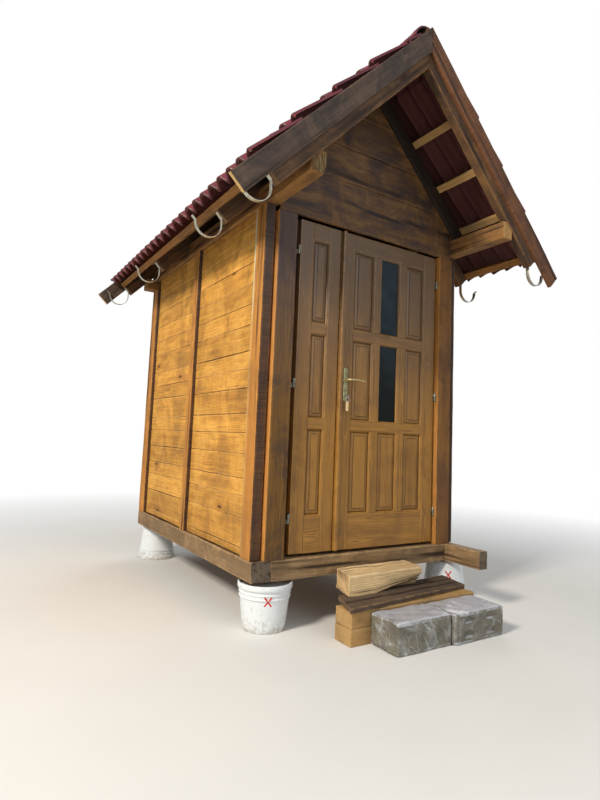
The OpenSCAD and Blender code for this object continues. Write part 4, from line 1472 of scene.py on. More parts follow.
@dataclass
class Gables:
    """Wide planks above the door and on the back, cut to the slope, and dark strips over their ends."""

    front_seams: tuple[float, ...] = (2432.0, 2741.0, 2972.0, 3204.0, 3330.0, 3440.0)
    back_seams: tuple[float, ...] = (PLATE_Z, 2700.0, 2930.0, 3160.0, 3320.0, 3440.0)
    front_y: float = -30.0
    back_y: float = 2146.0
    thick: float = 25.0
    half: float = 717.0
    strip_s: float = 1262.0
    strip_n: float = -170.0
    seed: int = 51

    def planks(self, y0: float, seams: Sequence[float], rng: Rng) -> Mesh:
        """Planks of one gable; above the plates their ends follow the roof line.

        Args:
            y0: front of the planks.
            seams: heights of the seams.
            rng: seeded source of unevenness and grain.

        Returns:
            The mesh.
        """
        mesh = Mesh()
        slope = COS / SIN
        for low, high in zip(seams[:-1], seams[1:]):
            middle = (low + high) / 2.0
            reach = min((APEX_Z - RAFTER_TOP / COS - middle) * slope, self.half)
            lean = 0.0 if reach > self.half - 1.0 and high < 2745.0 else slope
            cut = Cut(edge=4.0, uneven=1.2, wave=220.0, fine=20.0, step=90.0, start=(lean, 0.0), end=(-lean, 0.0),
                      crook=rng.normal(0.0, 1.5), cracks=1, crack_depth=1.5)
            board(mesh, (-reach, y0 + self.thick / 2.0, middle), UNITS[0], UNITS[2],
                  (2 * reach, high - low - 2.4, self.thick), rng, cut)
            # A dark strip behind each seam: painted shade in the gap between the planks
            board(mesh, (6.0 - reach, y0 + 16.0, high - 4.0), UNITS[0], UNITS[2], (2 * reach - 12.0, 16.0, 8.0), rng,
                  Cut(edge=1.0, uneven=0.0), dirt_and_shade=2.0)
        return mesh

    def build(self, shop: Workshop) -> None:
        """Makes both gables.

        Args:
            shop: workshop that makes the pieces.
        """
        rng = np.random.default_rng(self.seed)
        shop.piece(self.planks(self.front_y, self.front_seams, rng), "gable_front_planks", Finishes.GABLE,
                   ["gable_front"])
        strips = Mesh()
        for side in Side:
            slope_board(strips, side, self.strip_s, self.strip_n, -RAFTER_TOP, self.front_y - self.thick,
                        self.thick, rng, Cut(edge=2.5, uneven=0.5))
        shop.piece(strips, "gable_front_strips", Finishes.STRIP, ["gable_front"])
        shop.piece(self.planks(self.back_y, self.back_seams, rng), "gable_back_planks", Finishes.GABLE,
                   ["gable_back"])


# ---------------------------------------------------------------- roof


@dataclass
class RoofTimbers:
    """Rafters, battens, eave boards, ridge board and bargeboards."""

    rafter_y: tuple[float, ...] = (-501.0, 110.0, 1270.0, 2171.0)
    rafter_t: float = 55.0
    top_s: float = 140.7
    batten_size: Pair = (50.0, 38.0)
    batten_n: float = -64.0
    barge: Pair = (113.0, 25.0)
    ridge_x: float = 20.0
    ridge_z: Pair = (3470.0, 3606.0)
    seed: int = 61

    def rafters(self, side: Side, rng: Rng) -> Mesh:
        """Four rafters with plumb cuts at the ridge.

        Args:
            side: side of the house.
            rng: seeded source of unevenness and grain.

        Returns:
            The mesh.
        """
        mesh = Mesh()
        for y in self.rafter_y:
            slope_board(mesh, side, RAFTER_END, -RAFTER_LOW, -RAFTER_TOP, y, self.rafter_t, rng,
                        Cut(edge=3.0, uneven=0.9, fine=18.0, step=110.0, cracks=2, crack_depth=3.0, fresh=(0.0, 0.2)))
        return mesh

    def batten(self, mesh: Mesh, side: Side, row: int, rng: Rng) -> None:
        """One batten along the roof; row 0 is the eave board, the last lies beside the ridge board.

        Args:
            mesh: where it goes.
            side: side of the house.
            row: its number.
            rng: seeded source of unevenness and grain.
        """
        s = RAFTER_END - self.batten_size[0] / 2.0 - row * GAUGE if row < 4 else self.top_s
        board(mesh, roof_point(side, s, self.batten_n, ROOF_Y[0]), UNITS[1], (side.value * COS, 0, -SIN),
              (ROOF_Y[1] - ROOF_Y[0], *self.batten_size), rng, Cut(edge=2.0, uneven=0.6, step=120.0))

    def build(self, shop: Workshop) -> None:
        """Makes the roof's timbers.

        Args:
            shop: workshop that makes the pieces.
        """
        rng = np.random.default_rng(self.seed)
        eaves = Mesh()
        for side in Side:
            word = side.word
            shop.piece(self.rafters(side, rng), f"rafters_{word}_timbers", Finishes.ROOF,
                       [f"rafters_{word}"])
            battens = Mesh()
            for row in range(1, 5):
                self.batten(battens, side, row, rng)
            shop.piece(battens, f"battens_{word}_strips", Finishes.RAW, [f"battens_{word}"])
            self.batten(eaves, side, 0, rng)
            left = side is Side.LEFT
            high, thick = self.barge
            barge = Mesh()
            for y in (FRONT, BACK - thick):
                slope_board(barge, side, EAVE_S, -high, 0.0, y, thick, rng,
                            Cut(edge=3.0, uneven=0.9, fine=14.0, step=90.0, crook=1.0, ragged=0.6, cracks=2,
                                crack_depth=1.8, fresh=(0.0, 1.0 if left else 0.4)))
            shop.piece(barge, f"bargeboards_{word}_boards", Finishes.BARGE if left else Finishes.RUSSET,
                       [f"bargeboards_{word}"])
        shop.piece(eaves, "eave_board_pair", Finishes.EAVE, ["eave_boards"])
        ridge = box_board(Mesh(), (-self.ridge_x, ROOF_Y[0], self.ridge_z[0]),
                          (self.ridge_x, ROOF_Y[1], self.ridge_z[1]), Axis.Y, Axis.Z, rng,
                          Cut(edge=2.0, fresh=(0.0, 0.0)))
        shop.piece(ridge, "ridge_plank", Finishes.ROOF, ["ridge_board"])


@dataclass
class Tiles:
    """Wavy clay tiles in five courses on each slope, and half-round ridge tiles.

    The mouths are the gaps below the noses of the lowest course and of the others, and the rim is
    how far a nose hangs down.
    """

    base: float = 45.0
    thick: float = 14.0
    wave: float = 45.0
    waves: int = 23
    courses: int = 5
    lap: float = 45.0
    top_s: float = 95.0
    mouths: Pair = (9.0, 20.0)
    rim: float = 10.0
    nose_r: float = 5.0
    step: float = 7.4
    gap: float = 0.4
    ridge_z: float = 3512.0
    ridge_start: float = 12.0
    ridge_lap: float = 35.0
    ridge_count: int = 7
    seed: int = 71

    @property
    def pitch(self) -> float:
        """Distance between two crests."""
        return (ROOF_Y[1] - ROOF_Y[0]) / self.waves

    def tile(self, mesh: Mesh, side: Side, low_s: float, high_s: float, y0: float, y1: float, rng: Rng) -> None:
        """One tile of up to two waves.

        Its section in s and n is a closed loop: underside, a rim that hangs down at the rounded
        nose, top and head. The loop moves along y, lifted by the wave and by a tilt that rises
        towards the nose. The wave is (1 + cos(pi u^1.5)) / 2 of the distance u from its crest, 1 in
        the trough: a wide round roll.

        Args:
            mesh: where it goes.
            side: side of the house.
            low_s: its lower end, down the slope.
            high_s: its upper end, down the slope.
            y0: its front end.
            y1: its back end.
            rng: seeded source of unevenness and grain.
        """
        steps = max(int(round((y1 - y0) / self.step)), 4)
        y = np.linspace(y0, y1, steps + 1)
        turn = (y - ROOF_Y[0]) / self.pitch
        off = 2.0 * np.abs(turn - np.round(turn))
        lift = self.wave * (1.0 + np.cos(math.pi * off ** 1.5)) / 2.0
        t = self.thick
        nose = np.radians(np.array([-90.0, -50.0, 0.0, 50.0, 90.0]))
        arc_s = low_s - self.nose_r + self.nose_r * np.cos(nose)
        arc_n = (t - self.rim) / 2.0 + ((t + self.rim) / 2.0 - 0.3) * np.sin(nose)
        middle = np.linspace(high_s, low_s - self.nose_r, 5)
        s = np.concatenate([middle[:-1], low_s + np.array([-22.0, -14.0]), arc_s, [low_s - 13.0], middle[::-1][1:]])
        n = np.concatenate([np.full(5, 0.3), [0.5 - self.rim], arc_n, np.full(5, t - 0.3)])
        # Wear along the section: the nose's rawer red rim, and a thin dark line along its top edge and under the rim
        wear = np.concatenate([np.zeros(5), [-0.2, 0.0, 0.5, 0.7, 0.2, -0.7], np.zeros(5)])
        slip, rise = rng.normal(0.0, 2.0), rng.uniform(0.0, 1.0)
        tilt = (t + self.mouths[0 if low_s > TILE_END - 1.0 else 1]) / GAUGE
        height = n[None] + lift[:, None] - self.base + (s[None] - high_s) * tilt + rise
        place = roof_point(side, s[None] + slip * (wear[None] != 0), height, y[:, None])
        mesh.add(place, shell(*height.shape, flip=side is Side.RIGHT), tone=rng.normal(0.0, 0.5),
                 wear=np.broadcast_to(wear, height.shape))

    def slope(self, side: Side, rng: Rng) -> Mesh:
        """All the tiles of a slope; each covers two waves and joins the next in a trough.

        Args:
            side: side of the house.
            rng: seeded source of unevenness and grain.

        Returns:
            The mesh.
        """
        mesh = Mesh()
        edges = ROOF_Y[0] + self.pitch * np.concatenate([[0.0], np.arange(1.5, self.waves, 2.0), [self.waves]])
        for row in range(self.courses):
            low = TILE_END - row * GAUGE
            high = max(low - GAUGE - self.lap, self.top_s)
            for y0, y1 in zip(edges[:-1], edges[1:]):
                self.tile(mesh, side, low, high, y0 + self.gap, y1 - self.gap, rng)
        return mesh

    def ridge(self, rng: Rng) -> Mesh:
        """Half-round ridge tiles: a closed section of radius and length goes round from 8 to 172 degrees.

        Args:
            rng: seeded source of unevenness and grain.

        Returns:
            The mesh.
        """
        mesh = Mesh()
        gauge = (ROOF_Y[1] - ROOF_Y[0]) / self.ridge_count
        turn = np.radians(np.linspace(8.0, 172.0, 33))
        for i in range(self.ridge_count):
            length = gauge + self.ridge_lap * (0 < i < self.ridge_count - 1)
            outline = np.array([(100, 0), (102, -2), (108, -2), (111, 1), (111, 36), (110, 42), (107, 46),
                                (106.6, 80), (103, length - 3), (102, length), (93, length), (92, length - 2),
                                (96, 90), (99, 42)])
            y = ROOF_Y[0] + max(i * gauge, self.ridge_start) + np.clip(outline[:, 1], 0.0, length)
            x = outline[None, :, 0] * np.cos(turn)[:, None]
            z = self.ridge_z + outline[None, :, 0] * np.sin(turn)[:, None]
            # Painted shade: the inner face and lower front edge of each ridge tile darken to the dark colour
            wear = np.array([-0.9, -0.5, -0.1, 0.1] + [0.0] * 7 + [-0.9] * 3)
            mesh.add(np.stack([x, np.broadcast_to(y, x.shape), z], -1), shell(*x.shape, flip=True),
                     tone=rng.normal(0.0, 0.5), wear=np.broadcast_to(wear, x.shape))
        return mesh

    def build(self, shop: Workshop) -> None:
        """Makes both slopes and the ridge.

        Args:
            shop: workshop that makes the pieces.
        """
        rng = np.random.default_rng(self.seed)
        for side in Side:
            shop.piece(self.slope(side, rng), f"clay_tiles_{side.word}", Finishes.TILE,
                       [f"tiles_{side.word}"], angle=50.0)
        shop.piece(self.ridge(rng), "clay_ridge_tiles", Finishes.TILE, ["ridge_tiles"], angle=50.0)


@dataclass
class GutterHooks:
    """Half-round strap hooks that hang level under the eaves, ready for a gutter."""

    radius: float = 80.0
    strap: Pair = (25.0, 4.0)
    centre: Pair = (1102.6, 2295.2)
    lip: Pair = (22.0, 24.5)
    places: tuple[float, ...] = (-458.5, 137.5, 1297.5, 2198.5)

    def path(self, side: Side, y: float) -> Array:
        """Down the rafter's end, straight down, round a half circle and out along the leaning lip.

        Args:
            side: side of the house.
            y: place of the hook.

        Returns:
            The points in order.
        """
        cx, cz = self.centre
        held = roof_point(Side.RIGHT, RAFTER_END + 2.0, np.array([-92.0, -112.0, -132.0, -139.0]), 0.0)
        turn = np.linspace(math.pi, 2.0 * math.pi, 25)
        x = np.concatenate([held[:, 0], [cx - self.radius] * 2, cx + self.radius * np.cos(turn),
                            cx + self.radius + self.lip[0] * np.array([0.12, 0.5, 1.0])])
        z = np.concatenate([held[:, 2], [cz + 40.0, cz + 14.0], cz + self.radius * np.sin(turn),
                            cz + self.lip[1] * np.array([0.22, 0.56, 1.0])])
        return np.stack([side.value * x, np.full(len(x), y), z], 1)

    def build(self, shop: Workshop) -> None:
        """Makes four hooks on each side.

        Args:
            shop: workshop that makes the pieces.
        """
        outline = section(self.strap[0], self.strap[1], 1.2, 20.0)[0]
        for side in Side:
            mesh = Mesh()
            for y in self.places:
                path = self.path(side, y)
                top = np.cross(unit(np.gradient(path, axis=0)), UNITS[1])
                points = path[:, None] + outline[None, :, :1] * UNITS[1] + outline[None, :, 1:] * top[:, None]
                mesh.add(points, shell(*points.shape[:2]))
                for drop in (96.0, 110.0):
                    lathe(mesh, [(0.5, 0), (4, 0), (4, 1), (2.5, 2.6), (0.5, 3)],
                          roof_point(side, RAFTER_END + 5.0, -drop, y), Axis.X, 12, flip=side is Side.LEFT)
            shop.piece(mesh, f"strap_hooks_{side.word}", Finishes.ZINC,
                       [f"gutter_hooks_{side.word}"])


# ---------------------------------------------------------------- door


@dataclass
class Leaf:
    """One door leaf: stiles, rails and bars round panels with raised fields."""

    x0: float
    x1: float
    stiles: Pair
    columns: tuple[Pair, ...]
    body: str
    word: str
    glass: tuple[tuple[int, int], ...] = ()
    cover: Optional[Pair] = None
    low_z: float = 410.0
    height: float = 2012.0
    thick: float = 36.0
    rows: tuple[Pair, ...] = ((212.0, 736.33), (793.33, 1317.67), (1381.67, 1906.0))
    seam: Pair = (119.0, 119.6)
    seed: int = 81

    def openings(self) -> Iterator[tuple[tuple[int, int], Triple, Pair]]:
        """Row and column, lowest x, y and z, and width and height of each opening.

        Returns:
            An iterator over the openings.
        """
        for row, (low, high) in enumerate(self.rows):
            for col, (left, right) in enumerate(self.columns):
                yield (row, col), (self.x0 + left, 0.0, self.low_z + low), (right - left, high - low)

    def frame(self, rng: Rng) -> Mesh:
        """Stiles, rails and bars, each its own board, with a moulding round every opening.

        Args:
            rng: seeded source of unevenness and grain.

        Returns:
            The mesh.
        """
        mesh = Mesh()
        smooth = Cut(edge=1.8, uneven=0.12, fine=22.0, step=150.0, lined=0.35, fresh=(0.0, 0.0))
        z0, z1, t = self.low_z, self.low_z + self.height, self.thick
        a, b = self.x0 + self.stiles[0], self.x1 - self.stiles[1]
        for low, high in ((self.x0, a), (b, self.x1)):
            box_board(mesh, (low, 0, z0), (high, t, z1), Axis.Z, Axis.X, rng, smooth)
        rails = [(0.0, self.seam[0]), (self.seam[1], self.rows[0][0])]
        rails += [(low[1], high[0]) for low, high in zip(self.rows[:-1], self.rows[1:])]
        rails += [(self.rows[-1][1], self.height)]
        for low, high in rails:
            box_board(mesh, (a + 0.3, 0.4, z0 + low), (b - 0.3, t - 0.4, z0 + high), Axis.X, Axis.Z, rng, smooth)
        for left, right in zip(self.columns[:-1], self.columns[1:]):
            for low, high in self.rows:
                box_board(mesh, (self.x0 + left[1], 0.4, z0 + low + 0.3),
                          (self.x0 + right[0], t - 0.4, z0 + high - 0.3), Axis.Z, Axis.X, rng, smooth)
        for _, corner, size in self.openings():
            self.moulding(mesh, corner, size, rng)
        return mesh

    def moulding(self, mesh: Mesh, corner: Triple, size: Pair, rng: Rng) -> None:
        """Beads on both faces of an opening: a small ogee of inset and depth, carried round with mitres.

        Args:
            mesh: where it goes.
            corner: lowest x, y and z of the opening.
            size: its width and height.
            rng: seeded source of unevenness and grain.
        """
        reach = np.array([-0.8, 0.6, 2.4, 5.0, 8.0, 10.0, 11.0, 11.0, -0.8])
        face = np.array([2.6, 1.0, 0.9, 2.6, 6.4, 9.0, 11.5, 15.6, 15.6])
        # Darker rings at the moulding's inner and outer corners: partly varnish build-up, partly painted shade in the
        # recesses
        dirt_and_shade = np.array([0.9, 0.3, 0.0, 0.0, 0.0, 0.0, 0.25, 0.8, 0.9])
        nested_rings(mesh, corner, size, reach[::-1], face[::-1], dirt_and_shade[::-1], rng, closed=True)
        nested_rings(mesh, corner, size, reach, self.thick - face, dirt_and_shade, rng, closed=True)

    def panels(self, rng: Rng) -> Mesh:
        """Raised fields: flat rim, hollow bevel and flat field on both faces, as nested rectangles.

        Args:
            rng: seeded source of unevenness and grain.

        Returns:
            The mesh.
        """
        mesh = Mesh()
        inset = np.array([0.0, 0.0, 13.0, 14.0, 15.5, 18.5, 23.5, 29.5, 35.0, 36.2, 37.6, 40.0])
        depth = np.array([14.8, 14.6, 14.6, 14.2, 12.6, 10.6, 8.6, 7.6, 7.2, 4.7, 4.0, 3.9])
        # Darker rims and field step: partly varnish build-up in the grooves, partly painted shade in the recesses
        dirt_and_shade = np.array([0.6, 0.6, 0.6, 0.7, 0.3, 0.0, 0.0, 0.1, 0.85, 0.75, 0.0, 0.0])
        both_inset = np.concatenate([inset[::-1], inset])
        both_depth = np.concatenate([self.thick - depth[::-1], depth])
        both_soil = np.concatenate([dirt_and_shade[::-1], dirt_and_shade])
        for spot, corner, size in self.openings():
            if spot not in self.glass:
                nested_rings(mesh, corner, size, both_inset, both_depth, both_soil, rng, tone=rng.normal(0.0, 0.6))
        return mesh

    def panes(self, rng: Rng) -> Mesh:
        """Glass in its openings, 1 mm clear of the wood.

        Args:
            rng: seeded source of unevenness and grain.

        Returns:
            The mesh.
        """
        mesh = Mesh()
        for spot, (x, _, z), (wide, high) in self.openings():
            if spot in self.glass:
                box_board(mesh, (x + 1, 16, z + 1), (x + wide - 1, 20, z + high - 1), Axis.Z, Axis.X, rng,
                          Cut(edge=0.5, uneven=0.0), tone=0.0)
        return mesh

    def strip(self, mesh: Mesh, rng: Rng) -> None:
        """Cover strip on the meeting edge, with rounded shoulders.

        Args:
            mesh: where it goes.
            rng: seeded source of unevenness and grain.
        """
        wide, thick = self.cover
        box_board(mesh, (self.x0, -thick, self.low_z), (self.x0 + wide, 0.2, self.low_z + self.height), Axis.Z,
                  Axis.X, rng, Cut(edge=6.0, uneven=0.15, fine=12.0))

    def build(self, shop: Workshop) -> None:
        """Makes the leaf's wooden frame, panels and glass.

        Args:
            shop: workshop that makes the pieces.
        """
        rng = np.random.default_rng(self.seed)
        frame = self.frame(rng)
        if self.cover is not None:
            self.strip(frame, rng)
        shop.piece(frame, f"leaf_{self.word}_frame", Finishes.DOOR, [f"door_{self.word}_frame"],
                   self.body)
        shop.piece(self.panels(rng), f"leaf_{self.word}_panels", Finishes.DOOR,
                   [f"door_{self.word}_panels"], self.body, angle=24.0)
        if self.glass:
            shop.piece(self.panes(rng), f"leaf_{self.word}_panes", Finishes.GLASS,
                       [f"door_{self.word}_glass"], self.body)


@dataclass
class Hinges:
    """Three two-part hinges beside each leaf.

    left and right give the x of the axis and how far the fixed and the moving sheet reach from it.
    """

    heights: tuple[float, ...] = (586.0, 1380.0, 2196.0)
    left: Triple = (-569.0, -14.0, 15.0)
    right: Triple = (605.0, 8.0, -8.0)
    axis_y: float = -7.0
    knuckle: float = 7.0
    half: float = 28.0
    play: float = 1.0
    sheet: float = 2.0
    sheet_back: float = 28.0
    seed: int = 91

    def knuckle_profile(self, top: bool) -> Array:
        """Radii and heights of a knuckle; the upper one ends in a small round cap.

        Args:
            top: whether it is the upper one.

        Returns:
            Rows of radius and height.
        """
        h, r = self.half, self.knuckle
        rows = np.array([(0.4, 0), (r - 1.2, 0), (r, 1.2), (r, h - 3), (r - 1.0, h - 1.2), (r - 3, h - 0.3),
                         (0.4, h)])
        return rows if top else (rows * [1.0, -1.0] + [0.0, h])[::-1]

    def build(self, shop: Workshop) -> None:
        """Makes the fixed halves and the halves on the leaves.

        Args:
            shop: workshop that makes the pieces.
        """
        rng = np.random.default_rng(self.seed)
        fixed, leaves = Mesh(), {Side.LEFT: Mesh(), Side.RIGHT: Mesh()}
        thin = Cut(edge=0.6, uneven=0.0, step=20.0)
        for side, (x, *reaches) in ((Side.LEFT, self.left), (Side.RIGHT, self.right)):
            for z in self.heights:
                upper = z + self.half + self.play
                lathe(fixed, self.knuckle_profile(False), (x, self.axis_y, z), turns=24)
                lathe(leaves[side], self.knuckle_profile(True), (x, self.axis_y, upper), turns=24)
                for mesh, reach, base in zip((fixed, leaves[side]), reaches, (z, upper)):
                    end = x + reach
                    low_z, high_z = base + self.play, base + self.half - self.play
                    for foot, back, along in ((x, 0.0, Axis.X),
                                              (end - math.copysign(self.sheet, reach), self.sheet_back, Axis.Y)):
                        low, high = sorted((foot, end))
                        box_board(mesh, (low, -self.sheet, low_z), (high, back, high_z), along, Axis.Z, rng, thin)
        shop.piece(fixed, "hinge_halves_fixed", Finishes.BRIGHT, ["hinges_frame"])
        shop.piece(leaves[Side.LEFT], "hinge_halves_left", Finishes.BRIGHT, ["hinges_left_leaf"],
                   "leaf_left")
        shop.piece(leaves[Side.RIGHT], "hinge_halves_right", Finishes.BRIGHT, ["hinges_right_leaf"],
                   "leaf_right")


@dataclass
class Lock:
    """Handle plates, levers on one spindle, and the key with its ring and tag."""

    x: float = -184.0
    lever_z: float = 1461.0
    plate_low: float = 1324.0
    plate_h: float = 215.0
    plate_w: float = 35.0
    reach: float = 50.0
    bend_r: float = 14.0
    grip: Pair = (22.0, 132.0)
    wave: float = 2.5
    key_drop: float = 105.0
    sides: tuple[Pair, ...] = ((0.0, -1.0), (36.0, 1.0))
    seed: int = 93

    def plates(self) -> Mesh:
        """Two long plates with round ends: outlines of growing inset at growing height.

        Returns:
            The mesh.
        """
        mesh = Mesh()
        half = self.plate_w / 2.0
        turn = np.linspace(0.0, math.pi, 13)
        upper = np.stack([half * np.cos(turn), self.plate_h - half + half * np.sin(turn)], 1)
        lower = np.stack([-half * np.cos(turn), half - half * np.sin(turn)], 1)
        outline = np.concatenate([upper, lower])
        middle = np.array([0.0, self.plate_h / 2.0])
        sizes = ((0.35, 0.0), (1.0, 0.0), (1.0, 3.6), (0.93, 5.2), (0.84, 5.9), (0.35, 6.0))
        for base, way in self.sides:
            rings = []
            for size, rise in sizes:
                inset = (1.0 - size) * half
                shrunk = middle + (outline - middle) * (1.0 - inset / np.array([half, self.plate_h / 2.0]))
                rings.append(np.stack([self.x + shrunk[:, 0], np.full(len(shrunk), base + way * rise),
                                       self.plate_low + shrunk[:, 1]], 1))
            points = np.stack(rings)
            mesh.add(points, shell(*points.shape[:2], flip=way > 0))
            for z in (self.plate_low + 12.0, self.plate_low + self.plate_h - 12.0):
                lathe(mesh, [(0.4, 0), (3.6, 0), (3.2, 1.0), (0.4, 1.4)], (self.x, base + way * 5.6, z), Axis.Y, 14,
                      flip=way < 0)
        return mesh

    def levers(self) -> Mesh:
        """Both levers and their necks: an ellipse carried out from the plate, round a bend and sideways.

        Returns:
            The mesh.
        """
        mesh = Mesh()
        bend = np.radians(np.linspace(0.0, 90.0, 9))
        low, high = self.grip
        along = np.linspace(low, high, 14)
        x = np.concatenate([[0.0, 0.0], self.bend_r * (1.0 - np.cos(bend)), along])
        y = np.concatenate([[0.0, 12.0], self.reach - self.bend_r * (1.0 - np.sin(bend)),
                            np.full(len(along), self.reach)])
        z = np.concatenate([np.zeros(2 + len(bend)),
                            self.wave * np.sin((along - low) / (high - low) * math.pi * 1.5)])
        size = np.concatenate([[1.0, 1.0], np.full(len(bend), 0.95), np.linspace(0.95, 0.72, len(along) - 2),
                               [0.55, 0.2]])
        for base, way in self.sides:
            path = np.stack([self.x + x, base + way * y, self.lever_z + z], 1)
            sweep(mesh, path, circle(8.6, 18, 0.82), (0.0, 0.0, 1.0), scale=size)
            lathe(mesh, [(0.5, 0), (12.5, 0), (12.5, 2), (10.5, 4), (10, 7), (0.5, 7)],
                  (self.x, base + way * 6.1, self.lever_z), Axis.Y, 24, flip=way < 0)
        lathe(mesh, [(0.5, -2), (8.5, -2), (8.5, 38), (0.5, 38)], (self.x, 0.0, self.lever_z), Axis.Y, 18)
        return mesh

    def keys(self) -> tuple[Mesh, Mesh]:
        """The key with its ring, and the tag on it.

        Returns:
            Both meshes.
        """
        key, tag = Mesh(), Mesh()
        z = self.lever_z - self.key_drop
        lathe(key, [(0.4, 0), (3.0, 0), (3.0, 14), (0.4, 14)], (self.x, -6.0, z), Axis.Y, 14, flip=True)
        lathe(key, [(0.5, -1.3), (9, -1.3), (11, -0.8), (11, 0.8), (9, 1.3), (0.5, 1.3)], (self.x, -30.0, z),
              Axis.X, 24)
        ring = circle(13.0, 28)
        path = np.stack([self.x + ring[:, 0], np.full(len(ring), -32.0), z - 20.0 + ring[:, 1]], 1)
        sweep(key, path, circle(1.3, 8), UNITS[1], closed=True)
        box_board(tag, (self.x - 12, -34.0, z - 92.0), (self.x + 8, -31.0, z - 33.0), Axis.Z, Axis.X,
                  np.random.default_rng(self.seed), Cut(edge=1.2, uneven=0.2, step=12.0, fine=6.0))
        return key, tag

    def build(self, shop: Workshop) -> None:
        """Makes plates, levers, key and tag.

        Args:
            shop: workshop that makes the pieces.
        """
        shop.piece(self.plates(), "handle_plate_pair", Finishes.BRASS, ["handle_plates"],
                   "leaf_right")
        shop.piece(self.levers(), "lever_pair", Finishes.LEVER, ["lever_handle"], "lever", angle=50.0)
        key, tag = self.keys()
        shop.piece(key, "key_and_ring", Finishes.NICKEL, ["keys"], "leaf_right", angle=50.0)
        shop.piece(tag, "key_tag", Finishes.PALE, ["keys"], "leaf_right")


# ---------------------------------------------------------------- steps


@dataclass
class Steps:
    """The stacked entrance step: wrapped blocks, two beams, an old plank and a split timber."""

    timber_at: Triple = (-298.0, -154.5, 262.5)
    timber_size: Triple = (583.0, 195.0, 115.0)
    timber_skew: Triple = (54.0, 22.0, 18.0)
    tear_from: float = 0.35
    tear: Pair = (40.0, 88.0)
    fibre_count: int = 26
    fibre_x: Pair = (-20.0, 190.0)
    fibre_low: float = 209.0
    plank_at: Triple = (-411.0, -300.5, 190.5)
    plank_size: Triple = (980.0, 235.0, 29.0)
    plank_skew: Pair = (45.0, 90.0)
    beam_at: Pair = (-393.0, -400.0)
    beam_shift: Pair = (6.0, 5.0)
    beam_size: Triple = (962.0, 145.0, 88.0)
    beam_gap: float = 0.3
    block_spots: tuple[tuple[float, ...], ...] = ((-264.0, -620.0, 395.0, 220.0), (131.5, -640.0, 405.0, 240.0))
    block_h: float = 166.0
    dent_spots: tuple[Pair, ...] = ((118.0, 41.0), (118.0, -35.0), (288.0, 41.0), (288.0, -35.0))
    dent_size: Triple = (46.0, 15.0, 15.0)
    seed: int = 101

    def timber(self, rng: Rng) -> Mesh:
        """The upper timber: a skewed block whose front is torn and cracked.

        Args:
            rng: seeded source of unevenness and grain.

        Returns:
            The mesh.
        """
        length, width, thick = self.timber_size
        near, far, back = self.timber_skew

        def skew(p: Array) -> Array:
            """Shears the block, wears its lower front edge away and tears its right end.

            Args:
                p: places on the board (x, w, t).

            Returns:
                The moved places.
            """
            q = p.copy()
            across = (p[..., 1] + width / 2.0) / width
            up = (p[..., 2] + thick / 2.0) / thick
            along = p[..., 0] / length
            q[..., 0] += near * across * (1.0 - along) + far * across * along
            q[..., 1] += back * along
            front = np.clip(1.0 - across * 3.0, 0.0, 1.0)
            torn = np.clip(along - self.tear_from, 0.0, 1.0) * front * np.clip(1.0 - up * 1.6, 0.0, 1.0)
            q[..., 1:] += np.array(self.tear) * torn[..., None]
            return q

        return board(Mesh(), self.timber_at, UNITS[0], UNITS[1], self.timber_size, rng,
                     Cut(edge=5.0, uneven=2.2, wave=70.0, step=22.0, fine=9.0, cracks=4, splits=3, crack_depth=5.0,
                         ragged=3.0, warp=skew), tone=0.3)

    def fibres(self, rng: Rng) -> Mesh:
        """Torn fibres under the split timber's front: thin slivers that run with the grain.

        Args:
            rng: seeded source of unevenness and grain.

        Returns:
            The mesh.
        """
        mesh = Mesh()
        x0, y0, z0 = np.array(self.timber_at) - [0.0, self.timber_size[1] / 2.0, self.timber_size[2] / 2.0]
        for _ in range(self.fibre_count):
            x = rng.uniform(*self.fibre_x)
            share = (x - x0) / self.timber_size[0]
            top = z0 + 0.5 + self.tear[1] * max(share - self.tear_from, 0.0)
            y = y0 + 20.0 + self.timber_skew[2] * share + rng.uniform(0.0, 40.0)
            length = rng.uniform(50.0, 110.0)
            along = unit(np.array([1.0, rng.normal(0.05, 0.04), rng.uniform(0.0, 0.12)]))
            across = unit(np.cross(UNITS[2], along))
            # Each fibre is darkened at random, partly as painted shade of the torn recess
            board(mesh, (x, y, max(top + rng.uniform(-10.0, 6.0), self.fibre_low)), along, across,
                  (length, rng.uniform(5.0, 14.0), rng.uniform(3.0, 8.0)), rng,
                  Cut(edge=0.8, uneven=0.4, step=14.0, fine=4.0, warp=taper(length)), dirt_and_shade=rng.uniform(0.0, 0.7))
        return mesh

    def plank(self, rng: Rng) -> Mesh:
        """The old plank on the beams.

        Args:
            rng: seeded source of unevenness and grain.

        Returns:
            The mesh.
        """
        length, width, _ = self.plank_size
        end, back = self.plank_skew

        def lean(p: Array) -> Array:
            """Skews the plank towards the back.

            Args:
                p: places on the board (x, w, t).

            Returns:
                The moved places.
            """
            q = p.copy()
            q[..., 1] += back * p[..., 0] / length
            q[..., 0] += end * (p[..., 1] + width / 2.0) / width * (2.0 - p[..., 0] / length)
            return q

        return board(Mesh(), self.plank_at, UNITS[0], UNITS[1], self.plank_size, rng,
                     Cut(edge=3.5, uneven=1.2, wave=110.0, step=40.0, fine=14.0, cracks=4, crack_depth=3.0,
                         ragged=2.0, warp=lean), tone=0.0)

    def beams(self, rng: Rng) -> Mesh:
        """Two beams, the upper one a little to the right and further back.

        Args:
            rng: seeded source of unevenness and grain.

        Returns:
            The mesh.
        """
        mesh = Mesh()
        length, width, high = self.beam_size
        for row in (0, 1):
            x, y = (at + row * shift for at, shift in zip(self.beam_at, self.beam_shift))
            box_board(mesh, (x, y, high * row + self.beam_gap),
                      (x + length, y + width, high * row + high - self.beam_gap), Axis.X, Axis.Y, rng,
                      Cut(edge=4.0, uneven=0.8, fine=18.0, step=70.0, ragged=1.0))
        return mesh

